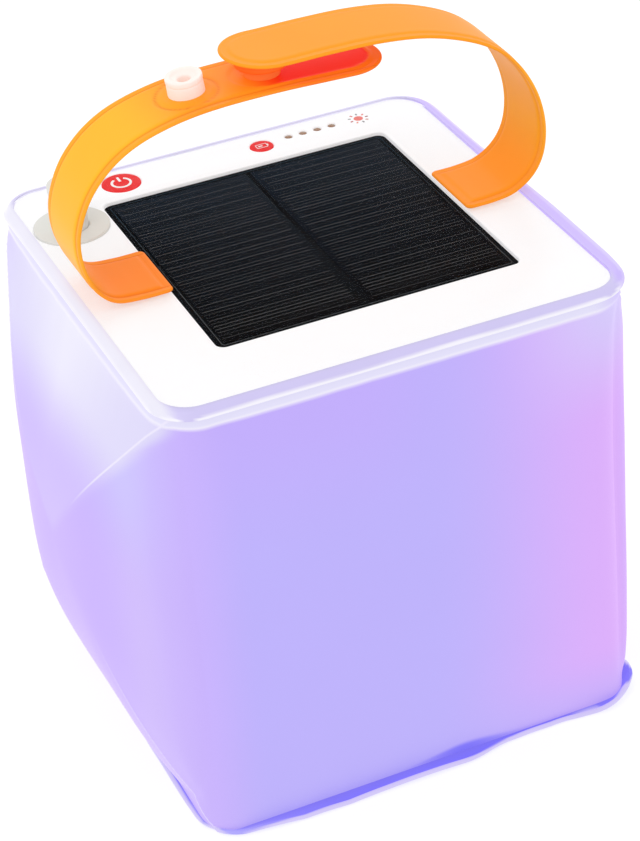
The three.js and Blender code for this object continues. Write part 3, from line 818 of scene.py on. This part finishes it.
def make_bottom_flange():
    """The welded edge round the foot: a flat band with a raised bead along its outside."""
    def section(turn):
        reach, lift = flange_reach(turn), flange_lift(turn)
        middle = reach - 0.8
        top = [(0, 1.5), (2.4, 1.45), (3.2, 1.2), (3.6 + (middle - 3.6) * 0.5, 0.85 + lift * 0.5),
               (middle - 1.0, 0.7 + lift)]
        edge = [(middle + 0.8 * math.cos(a), 0.85 + lift + 0.75 * math.sin(a))
                for a in (2.5, 1.9, 1.3, 0.7, 0, -0.7, -1.3, -1.9)]
        under = [(middle - 1.0, 0.35 + lift * 0.9), (3.6 + (middle - 3.6) * 0.5, 0.2 + lift * 0.45),
                 (2.4, 0.1), (0, 0.1)]
        return [(out * MM, z * MM) for out, z in top + edge + under]

    flange = swept("bottom_flange", section, FLANGE_HALF, FLANGE_CORNER, 560)
    painted(flange, flange_tone)
    fit(flange, "base", "frosted_film", rim_finish, "bottom_rim")


def make_bottom_panel():
    half = FLANGE_HALF - 0.15 * MM
    edge = square_outline((0, 0), half, half, FLANGE_CORNER, 10)
    panel = flat_piece("bottom_panel", edge, [], 0.05 * MM, 0.8 * MM, 0.2 * MM)
    painted(panel, lambda place: FLOOR_PANEL_TONE)
    fit(panel, "base", "frosted_film", rim_finish, "bottom_film")


# ---- head plate

PLATE_GAP = 0.2 * MM
PLATE_CORNER = 10 * MM
PLATE_WALL = 1.8 * MM
SOLAR_CORNER = 3 * MM


def make_plate():
    """The head's white plate with its holes, and the tray and skirt under it."""
    low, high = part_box("head_plate")
    pocket_half = half_span("solar_board") + PLATE_GAP
    holes = [square_outline(centre_of("solar_board"), pocket_half, pocket_half, SOLAR_CORNER)]
    under_holes = []
    for node, stem_hole in (("power_button", 3 * MM), ("level_button", 2.4 * MM)):
        holes.append(circle_outline(centre_of(node), half_span(node) + PLATE_GAP))
        under_holes.append(circle_outline(centre_of(node), stem_hole))
    holes.append(circle_outline(centre_of("valve_flange"), VALVE_DISC + PLATE_GAP, 96))
    under_holes.append(circle_outline(centre_of("valve_flange"), VALVE_BARREL + 0.3 * MM))
    for node in INDICATORS:
        holes.append(circle_outline(centre_of(node), 1.5 * MM, 32))
        under_holes.append(circle_outline(centre_of(node), 1.8 * MM, 32))
    edge = square_outline((0, 0), high.x, high.y, PLATE_CORNER, 20)
    shelf = high.z - PLATE_WALL
    top = flat_piece("head_plate_top", edge, holes, shelf, high.z, 0.3 * MM)
    fit(top, "head", "white_plastic", white_plastic, "head_plate")
    floor = high.z - 3 * MM
    tray = flat_piece("tray.floor", edge, under_holes, floor, shelf - 0.05 * MM, 0.2 * MM)
    inside = square_outline((0, 0), high.x - PLATE_WALL, high.y - PLATE_WALL,
                            PLATE_CORNER - PLATE_WALL, 20)
    skirt = flat_piece("tray.skirt", edge, [inside], low.z, floor - 0.05 * MM, 0.2 * MM)
    fit(joined("head_plate_tray", [tray, skirt]), "head", "white_plastic", white_plastic)


# ---- solar panel

FINGER_PITCH = 1.85 * MM
FINGER_HALF = 0.09 * MM
FINGER_START = 0.5 * MM  # from a field's outer end, and from the gap between the fields
FINGER_GAP = 1.8 * MM
TRIM_HALF = 48.1 * MM
TRIM_WIDTH = 0.25 * MM
CELL_TONE = (0.0045, 0.0045, 0.005)
CELL_BACK_TONE = (0.004, 0.010, 0.020)
FINGER_TONES = ((0.022, 0.022, 0.023), (0.130, 0.130, 0.132))
TRIM_TONE = (0.09, 0.095, 0.1)
TRIM_BACK_TONE = (0.02, 0.045, 0.07)


def make_solar_panel():
    middle, half = centre_of("solar_board"), half_span("solar_board")
    edge = square_outline(middle, half, half, SOLAR_CORNER)
    low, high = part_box("solar_board")
    board = flat_piece("solar_panel_board", edge, [], low.z, high.z, 0.12 * MM)
    fit(board, "head", "solar_black", laminate, "solar_board")
    make_cell_field("left", FINGER_START, FINGER_GAP)
    make_cell_field("right", FINGER_GAP, FINGER_START)
    low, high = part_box("solar_cover")
    cover = flat_piece("solar_panel_cover", edge, [], low.z, high.z, 0.15 * MM)
    fit(cover, "head", "solar_clear", solar_cover, "solar_cover")
    outside, inside = TRIM_HALF, TRIM_HALF - TRIM_WIDTH
    trim = flat_piece("solar_panel_border", square_outline(middle, outside, outside, 1.2 * MM),
                      [square_outline(middle, inside, inside, 1.0 * MM)],
                      high.z - 0.62 * MM, high.z - 0.54 * MM, 0.02 * MM)
    painted(trim, lambda place: mixed(TRIM_TONE, TRIM_BACK_TONE, ease(place.y, 0.03, 0.05)))
    fit(trim, "head", "solar_black", cell_finish)


def make_cell_field(side, left_margin, right_margin):
    """One field of cells: a slab with thin fingers of slightly uneven brightness."""
    low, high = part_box(f"solar_cells_{side}")
    slab = block(f"{side}.slab", low, high, 0.04 * MM, 2)
    fingers = []
    count = int((high.y - low.y) / FINGER_PITCH) - 1
    first = (low.y + high.y) / 2 - FINGER_PITCH * (count - 1) / 2
    start, end = low.x + left_margin, high.x - right_margin
    for i in range(count):
        y = first + i * FINGER_PITCH
        fingers.append(block(f"{side}.finger{i}", (start, y - FINGER_HALF, high.z - 0.01 * MM),
                             (end, y + FINGER_HALF, high.z + 0.03 * MM), 0.005 * MM, 1))
    field = joined(f"solar_cell_field_{side}", [slab] + fingers)

    def tone(place):
        if place.z <= high.z + 0.001 * MM:
            blue = ease(place.y, high.y - 5 * MM, high.y)
            return mixed(CELL_TONE, CELL_BACK_TONE, blue)
        line = round((place.y - first) / FINGER_PITCH)
        group = 0.5 + 0.5 * math.sin(line * 2.35 + noise.noise(Vector((line * 0.31, 0, 0))) * 4)
        return mixed(*FINGER_TONES, group)

    painted(field, tone)
    fit(field, "head", "solar_cell", cell_finish, f"solar_cells_{side}")


# ---- buttons, icons and lights

def make_button(node, ink_pieces):
    """A round red key on a stem, and the sign printed on it."""
    bottom, top = heights(node)
    axis, radius = axis_of(node), half_span(node) / MM
    under = top - 2.0
    cap = lathe(f"{node}.cap", axis,
                turned_outline([(0.01, under), (radius, under), (radius, top - 0.05),
                                (radius * 0.6, top), (0.01, top)], 0.25))
    stem = lathe(f"{node}.stem", axis,
                 turned_outline([(0.01, bottom), (1.6, bottom), (1.6, under - 0.02),
                                 (0.01, under - 0.02)], 0.2), 32)
    fit(joined(f"{node}_cap", [cap, stem]), node, "button_red", red_finish, node)
    ink = joined(f"{node}_icon", ink_pieces)
    fit(ink, node, "snap_plastic", ink_white)


def arc_bar(name, middle, radius, half_width, start, end, low, high, steps=48):
    """A flat bar bent along part of a circle, angles in degrees."""
    rings = []
    for i in range(steps + 1):
        turn = math.radians(start + (end - start) * i / steps)
        way = Vector((math.cos(turn), math.sin(turn)))
        inner = Vector(middle[:2]) + way * (radius - half_width)
        outer = Vector(middle[:2]) + way * (radius + half_width)
        rings.append([(*inner, low), (*outer, low), (*outer, high), (*inner, high)])
    return loft(name, rings)


def make_controls():
    """The two buttons with a power sign and a battery sign, the four lights and the sun."""
    power, level = centre_of("power_button"), centre_of("level_button")
    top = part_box("power_button")[1].z
    ink = (top - 0.03 * MM, top + 0.1 * MM)
    line_half = 0.42 * MM
    ring = arc_bar("power.ring", power, 3.1 * MM, line_half, 122, 418, *ink)
    bar = block("power.bar", (power.x - line_half, power.y + 1.0 * MM, ink[0]),
                (power.x + line_half, power.y + 4.1 * MM, ink[1]), 0.03 * MM, 1)
    make_button("power_button", [ring, bar])
    half_x, half_y, wall = 2.0 * MM, 1.3 * MM, 0.22 * MM
    outer = square_outline(level, half_x, half_y, 0.35 * MM, 6)
    inner = square_outline(level, half_x - wall, half_y - wall, 0.2 * MM, 6)
    case = flat_piece("level.case", outer, [inner], *ink, 0.02 * MM)
    tip = block("level.tip", (level.x + half_x, level.y - 0.5 * MM, ink[0]),
                (level.x + 2.35 * MM, level.y + 0.5 * MM, ink[1]), 0.02 * MM, 1)
    charge = block("level.charge", (level.x - 1.2 * MM, level.y - 0.3 * MM, ink[0]),
                   (level.x + 0.3 * MM, level.y + 0.3 * MM, ink[1]), 0.02 * MM, 1)
    make_button("level_button", [case, tip, charge])
    for node in INDICATORS:
        make_indicator(node)
    make_sun_icon()


def make_indicator(node):
    bottom, top = heights(node)
    outline = [(0.01, bottom), (1.7, bottom), (1.7, bottom + 0.8), (1.28, bottom + 0.85),
               (1.28, top - 0.1), (1.1, top + 0.05), (0.6, top + 0.18), (0.01, top + 0.22)]
    lens = lathe(f"{node}_lens", axis_of(node), outline, 40)
    fit(lens, "head", "indicator_lens", lens_finish, node)


SUN_OFFSET = Vector((9.8 * MM, -0.4 * MM))
SUN_TONE = linear(236, 130, 124)
RAY_HALF = 0.28 * MM
RAY_TONES = [(0.30, 0.05, 0.07), (0.75, 0.20, 0.16), (0.24, 0.26, 0.28), (0.65, 0.15, 0.14),
             (0.32, 0.33, 0.34), (0.5, 0.07, 0.08), (0.8, 0.32, 0.22), (0.25, 0.22, 0.24),
             (0.62, 0.25, 0.2)]


def make_sun_icon():
    """A printed sun beside the lights: a disc with short rays in several colours."""
    last = centre_of(INDICATORS[-1])
    middle = Vector((last.x, last.y)) + SUN_OFFSET
    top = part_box("head_plate")[1].z
    low, high = top - 0.03 * MM, top + 0.07 * MM
    disc = flat_piece("sun.disc", circle_outline(middle, 1.6 * MM, 40), [], low, high, 0.02 * MM)
    painted(disc, lambda place: SUN_TONE)
    pieces = [disc]
    for i, colour in enumerate(RAY_TONES):
        turn = 2 * math.pi * i / len(RAY_TONES)
        ray = block(f"sun.ray{i}", (2.55 * MM, -RAY_HALF, low), (3.55 * MM, RAY_HALF, high),
                    0.02 * MM, 1)
        ray.data.transform(Matrix.Translation((*middle, 0)) @ Matrix.Rotation(turn, 4, "Z"))
        painted(ray, lambda place, colour=colour: colour)
        pieces.append(ray)
    icon = joined("sun_icon", pieces)
    fit(icon, "head", "button_red", finish("sun_print", None, 0.45, gloss=0.1))


# ---- valve

def make_valve():
    axis = axis_of("valve_flange")
    low, high = heights("valve_flange")
    disc, barrel = VALVE_DISC / MM, VALVE_BARREL / MM
    outline = [(5.6, low), (barrel, low), (barrel, high - 1.3), (disc, high - 1.3),
               (disc, high - 0.15), (disc - 0.3, high), (6.0, high), (5.6, high - 0.2)]
    flange = lathe("valve_flange_disc", axis, rounded(outline, 0.18, 3), 128)
    fit(flange, "head", "valve_plastic", valve_finish, "valve_flange")

    low, high = heights("valve_stem")
    film = TOP / MM
    outline = [(4.2, low), (5.4, low), (5.4, film + 4), (5.15, film + 4.4), (5.15, film + 5.6),
               (5.4, film + 6), (5.4, film + 8.8), (6.2, film + 8.8), (6.2, film + 9.8),
               (5.9, film + 10.1), (5.9, film + 11.1), (6.2, film + 11.4), (6.2, high), (4.2, high)]
    stem = lathe("valve_stem_tube", axis, rounded(outline, 0.35, 3), 96)
    fit(stem, "valve_stem", "valve_plastic", valve_finish, "valve_stem")

    low, high = heights("valve_cap")
    bottom = high - 2.6
    outline = [(0.01, low), (2.7, low), (3.1, low + 0.4), (3.1, bottom), (6.4, bottom),
               (6.4, high - 0.3), (5.8, high), (4.6, high - 0.05), (4.3, high - 0.4),
               (0.01, high - 0.5)]
    lid = lathe("cap.lid", axis, turned_outline(outline, 0.3), 96)
    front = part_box("valve_cap")[0].y
    lip = block("cap.lip", (axis[0] - 3 * MM, front, (bottom + 1) * MM),
                (axis[0] + 3 * MM, axis[1] - 5.4 * MM, (bottom + 2.4) * MM), 0.5 * MM)
    fit(joined("valve_cap_lid", [lid, lip]), "valve_cap", "valve_plastic", valve_finish,
        "valve_cap")

    low, high = heights("check_flap")
    outline = turned_outline([(0.01, low), (6.6, low), (6.6, high), (0.01, high)], 0.25)
    flap = lathe("check_flap_disc", axis, outline, 64)
    fit(flap, "check_flap", "clear_film", valve_finish, "check_flap")


# ---- straps

def smooth_line(points, steps=24):
    """A Catmull-Rom curve through the points, as many short steps."""
    padded_points = [points[0] * 2 - points[1], *points, points[-1] * 2 - points[-2]]
    result = []
    for a, b, c, d in zip(padded_points, padded_points[1:], padded_points[2:], padded_points[3:]):
        for i in range(steps):
            t = i / steps
            result.append(0.5 * (2 * b + (c - a) * t + (2 * a - 5 * b + 4 * c - d) * t ** 2
                                 + (3 * b - a - 3 * c + d) * t ** 3))
    return result + [points[-1]]


class Line:
    """A smooth line that can be read at any distance from its start."""

    def __init__(self, points):
        self.points = smooth_line([Vector((x * MM, TOP + z * MM)) for x, z in points])
        self.marks = [0.0]
        for a, b in zip(self.points, self.points[1:]):
            self.marks.append(self.marks[-1] + (b - a).length)
        self.length = self.marks[-1]

    def at(self, distance):
        low = min(max(bisect.bisect_right(self.marks, distance) - 1, 0), len(self.marks) - 2)
        a, b = self.points[low], self.points[low + 1]
        share = (distance - self.marks[low]) / (self.marks[low + 1] - self.marks[low])
        return a + (b - a) * min(share, 1)

    def way(self, distance):
        step = 0.5 * MM
        ahead, behind = min(distance + step, self.length), max(distance - step, 0)
        return (self.at(ahead) - self.at(behind)).normalized()


def edge_distance(along, across, length):
    """How far inside the strap's outline a point is: small corners at the tab, a round tip."""
    across = abs(across)
    tip_start = length - STRAP_HALF
    if along > tip_start:
        return STRAP_HALF - math.hypot(along - tip_start, across)
    if along < TAB_CORNER and across > STRAP_HALF - TAB_CORNER:
        return TAB_CORNER - math.hypot(TAB_CORNER - along, across - STRAP_HALF + TAB_CORNER)
    return min(STRAP_HALF - across, along)


def half_width(along, length):
    """Half the strap's width, less at the tab's corners and round the tip."""
    tip_start = length - STRAP_HALF
    if along > tip_start:
        return math.sqrt(max(STRAP_HALF ** 2 - (along - tip_start) ** 2, 0))
    if along < TAB_CORNER:
        return STRAP_HALF - TAB_CORNER + math.sqrt(TAB_CORNER ** 2 - (TAB_CORNER - along) ** 2)
    return STRAP_HALF


def half_thickness(inside, welded):
    """Half the strap's thickness at a distance from its edge: lip, border, weld line, body."""
    round_edge = 0.5 * MM
    start = min(inside / round_edge, 1)
    thick = STRAP_EDGE * math.sqrt(max(1 - (1 - start) ** 2, 0))
    thick += 0.12 * MM * math.exp(-((inside - 0.7 * MM) / (0.35 * MM)) ** 2)
    thick -= 0.16 * MM * welded * math.exp(-((inside - WELD_INSET) / (0.35 * MM)) ** 2)
    return thick + (STRAP_BODY - STRAP_EDGE) * ease(inside, WELD_INSET, WELD_INSET + 1.2 * MM)


STUD_X = centre_of("snap_stud_1").x


def stud_relief(x, y):
    """The low mound that the open stud stands on, and the weld ring pressed round it, in metres."""
    away = math.hypot(x - STUD_X, y)
    ring = -0.2 * math.exp(-((away - STUD_RING) / (0.55 * MM)) ** 2)
    return (ring + 0.35 * (1 - ease(away, 7.4 * MM, 8.6 * MM))) * MM


def recess_depth(x, y):
    """0 outside and 1 inside the long moulded recess under the overlap."""
    nearest = min(max(x, RECESS_ENDS[0]), RECESS_ENDS[1])
    return 1 - ease(math.hypot(x - nearest, y), RECESS_HALF - 0.6 * MM, RECESS_HALF)


def across_stations():
    """Places across the strap as shares of its half-width, closer together at the weld line."""
    insets = [0, 0.1, 0.3, 0.6, 0.9, 1.4, 1.9, 2.2, 2.5, 2.8, 3.2, 3.7]
    half, last = STRAP_HALF / MM, insets[-1]
    insets += [last + (half - last) * i / 10 for i in range(1, 11)]
    one_side = [1 - inset / half for inset in insets]
    return one_side + [-share for share in reversed(one_side[:-1])]


def along_stations(length):
    """Places along the strap, closer together at both ends."""
    start = [inset * MM for inset in (0, 0.1, 0.3, 0.6, 1.0, 1.5, 2.0, 2.4)]
    near, far, steps = 3 * MM, length - STRAP_HALF, 26
    count = int((far - near) / STRAP_STEP)
    middle = [near + (far - near) * i / count for i in range(count)]
    tip = [length - STRAP_HALF * (1 - math.cos(math.pi / 2 * i / steps))
           for i in range(steps, -1, -1)]
    return start + middle + tip


def make_strap(name, line_points, moulded):
    """A strap swept along its mid-line. A moulded one has the stud's mound and the recess."""
    line = Line(line_points)
    shares = across_stations()
    rings = []
    for along in along_stations(line.length):
        spot, way = line.at(along), line.way(along)
        out = Vector((-way.y, way.x))
        width = half_width(along, line.length)
        top, bottom = [], []
        for share in shares:
            across = share * width
            inside = max(edge_distance(along, across, line.length), 0)
            thick = half_thickness(inside, 1 if moulded else 0.3)
            upper = thick
            if moulded and spot.y > TOP + 48 * MM:
                upper += stud_relief(spot.x, across)
                upper -= 0.35 * MM * recess_depth(spot.x, across)
            upper = max(upper, 0.15 * thick)
            top.append((spot.x + out.x * upper, STRAP_Y + across, spot.y + out.y * upper))
            bottom.append((spot.x - out.x * thick, STRAP_Y + across, spot.y - out.y * thick))
        rings.append(top + bottom[-2:0:-1])
    return loft(name, rings, angle=60)


# Strap tones: apart from the film's own border and weld lines, these are painted light and shade.
TAB_TONE = linear(255, 139, 38)
LIT_TONE = linear(255, 186, 45)
UPPER_TONE = linear(255, 158, 34)
LOWER_BAND_SHADE = linear(255, 150, 32)
RECESS_SHADE = linear(255, 42, 24)
TIP_SHADE = linear(255, 112, 30)
WELD_TONE = linear(226, 106, 22)
BORDER_TONE = linear(255, 152, 44)
RIGHT_TAB_TONE = linear(255, 152, 36)
INNER_LOOP_LIGHT = linear(255, 168, 45)


def on_weld_line(place):
    """How much of a point is on the weld line that runs inside the strap's long edges."""
    inset = STRAP_HALF - abs(place.y - STRAP_Y)
    return max(1 - abs(inset - WELD_INSET) / (0.55 * MM), 0)


def on_stud_ring(place):
    away = math.hypot(place.x - STUD_X, place.y - STRAP_Y)
    return max(1 - abs(away - STUD_RING) / (0.6 * MM), 0)


# Painted light and shade on the left strap: a lit upright face, the band in the right strap's
# shade, a shaded tip and recess.
def left_tone(place):
    x, height = place.x / MM, (place.z - TOP) / MM
    inset = STRAP_HALF - abs(place.y - STRAP_Y)
    tone = layered(TAB_TONE, (LIT_TONE, ease(height, 1, 20)),
                   (LOWER_BAND_SHADE, ease(x, -56, -26) * ease(height, 38, 50)),
                   (BORDER_TONE, 0.5 * (1 - ease(inset, 2.0 * MM, 2.6 * MM))))
    weld = on_weld_line(place)
    if height > 50:
        weld = max(weld, on_stud_ring(place))
        tone = mixed(tone, TIP_SHADE, 0.75 * ease(x, -16, 6))
        middle_height = 57.6 - 0.037 * (x + 8)
        deep = recess_depth(place.x, place.y - STRAP_Y) if height > middle_height else 0
        tone = mixed(tone, RECESS_SHADE, deep * ease(x, -18, -2))
    return mixed(tone, WELD_TONE, 0.6 * weld)


# Painted light and shade on the right strap, by height, with painted light on the inside of the
# loop.
def right_tone(place):
    height = (place.z - TOP) / MM
    return layered(RIGHT_TAB_TONE, (INNER_LOOP_LIGHT, ease(height, 4, 23)),
                   (UPPER_TONE, ease(height, 38, 56)),
                   (WELD_TONE, 0.3 * on_weld_line(place) * (1 - ease(height, 40, 52))))


def make_straps():
    left = make_strap("left_strap", LEFT_LINE, True)
    right = make_strap("right_strap", RIGHT_LINE, False)
    for piece, tone, body, bend in ((left, left_tone, "left_strap", LEFT_BEND),
                                    (right, right_tone, "right_strap", RIGHT_BEND)):
        painted(piece, tone)
        piece.data.materials.append(strap_finish)
        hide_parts(f"{body}_tab", f"{body}_band")
        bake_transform(piece)


# ---- snaps

def make_stud(node, height, tilt, material):
    """A hollow post with rounded lips that rises out of the strap."""
    middle = centre_of(node)
    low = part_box(node)[0].z
    outline = [(2.0, -0.9), (5.7, -0.9), (5.6, height * 0.6), (5.5, height * 0.66),
               (5.7, height * 0.72), (5.7, height), (4.3, height), (3.5, height - 0.7),
               (2.4, height - 1.0), (2.0, height - 1.4)]
    stud = lathe(f"{node}_post", (0, 0, 0), rounded(outline, 0.45, 4), 96)
    foot = Vector((middle.x, middle.y, low + STUD_FOOT * math.sin(abs(tilt))))
    stud.data.transform(Matrix.Translation(foot) @ Matrix.Rotation(tilt, 4, "Y"))
    fit(stud, "left_strap", "snap_plastic", material, node)


def make_snaps():
    make_stud("snap_stud_1", 5.6, -0.1, snap_finish)
    make_stud("snap_stud_2", 3.6, 0, shaded_snap)
    low, high = heights("snap_socket")
    high += 0.6
    outline = rounded([(6.4, low), (7.9, low), (8.4, low + 0.8), (8.4, high), (6.4, high)], 0.4, 4)
    ring = lathe("snap_socket_ring", axis_of("snap_socket"), outline, 96)
    fit(ring, "right_strap", "strap_orange", shaded_socket_finish, "snap_socket")


# ---- charging port

def make_port_frame():
    """A rubber sleeve with a window through it along Y."""
    low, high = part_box("port_frame")
    middle = centre_of("port_frame")
    half_x, half_z = (high.x - low.x) / 2, (high.z - low.z) / 2
    edge = square_outline((middle.x, middle.z), half_x, half_z, 1.0 * MM)
    window = square_outline((middle.x, middle.z), 3.8 * MM, 1.35 * MM, 0.8 * MM)
    sleeve = flat_piece("port_frame_sleeve", edge, [window], 0, 4.2 * MM, 0.3 * MM)
    upright = Matrix(((1, 0, 0, 0), (0, 0, -1, high.y), (0, 1, 0, 0), (0, 0, 0, 1)))
    sleeve.data.transform(upright)
    tidy_mesh(sleeve.data)
    shade(sleeve.data, 40)
    fit(sleeve, "head", "port_rubber", port_finish, "port_frame")


def make_port_cover():
    """A hinged rubber flap with a plug behind it and a lip to lift it by."""
    low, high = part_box("port_cover")
    frame_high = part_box("port_frame")[1]
    middle = centre_of("port_frame")
    face = frame_high.y + 0.3 * MM
    plate = block("cover.plate", (low.x, face, low.z), (frame_high.x, high.y, high.z), 0.4 * MM)
    plug = block("cover.plug", (middle.x - 3.2 * MM, low.y, middle.z - 0.9 * MM),
                 (middle.x + 3.2 * MM, face + 0.1 * MM, middle.z + 0.9 * MM), 0.25 * MM)
    lip = block("cover.lip", (frame_high.x - 0.3 * MM, face + 0.1 * MM, middle.z - 1.2 * MM),
                (high.x, high.y - 0.1 * MM, middle.z + 1.2 * MM), 0.35 * MM)
    fit(joined("port_cover_flap", [plate, plug, lip]), "port_cover", "port_rubber", port_finish,
        "port_cover")


# ---- pieces kept from the frame

def finish_kept_nodes():
    """Gives each piece that nothing replaces a material, by the start of its name."""
    steel = finish("steel", (0.52, 0.53, 0.55), 0.32, mottle=0.08, metallic=1.0)
    foil = finish("battery_foil", (0.42, 0.45, 0.5), 0.38, mottle=0.12, grain=0.4, metallic=0.6)
    foam = finish("foam", (0.04, 0.04, 0.045), 0.9, mottle=0.2, grain=0.8)
    board = finish("board_green", (0.014, 0.14, 0.045), 0.45, mottle=0.15)
    black = finish("switch_black", (0.02, 0.02, 0.022), 0.4, mottle=0.1)
    diffuser = finish("diffuser", (0.9, 0.9, 0.95), 0.5, mottle=0.04, glow=0.3)
    lamp = finish("lamp_yellow", (1.0, 0.88, 0.45), 0.4, mottle=0.08, glow=0.4)
    wire = finish("wire_red", (0.5, 0.02, 0.015), 0.45, mottle=0.1, grain=0.15)
    finishes = (("back_cover", white_plastic), ("cover_screw", steel), ("port_socket", steel),
                ("battery_cell", foil), ("battery_pad", foam), ("control_board", board),
                ("lamp_board", board), ("port_tongue", black), ("power_switch", black),
                ("level_switch", black), ("diffuser", diffuser), ("lamp_left", lamp),
                ("lamp_right", lamp), ("lamp_lead", wire), ("battery_lead", wire),
                ("solar_lead", wire))
    for name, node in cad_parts.items():
        if not node.hide_render:
            node.data.materials.clear()
            node.data.materials.append(next(choice for start, choice in finishes
                                            if name.startswith(start)))


make_bag()
make_top_rim()
make_top_film()
make_bottom_flange()
make_bottom_panel()
make_plate()
make_solar_panel()
make_controls()
make_valve()
make_straps()
make_snaps()
make_port_frame()
make_port_cover()
finish_kept_nodes()
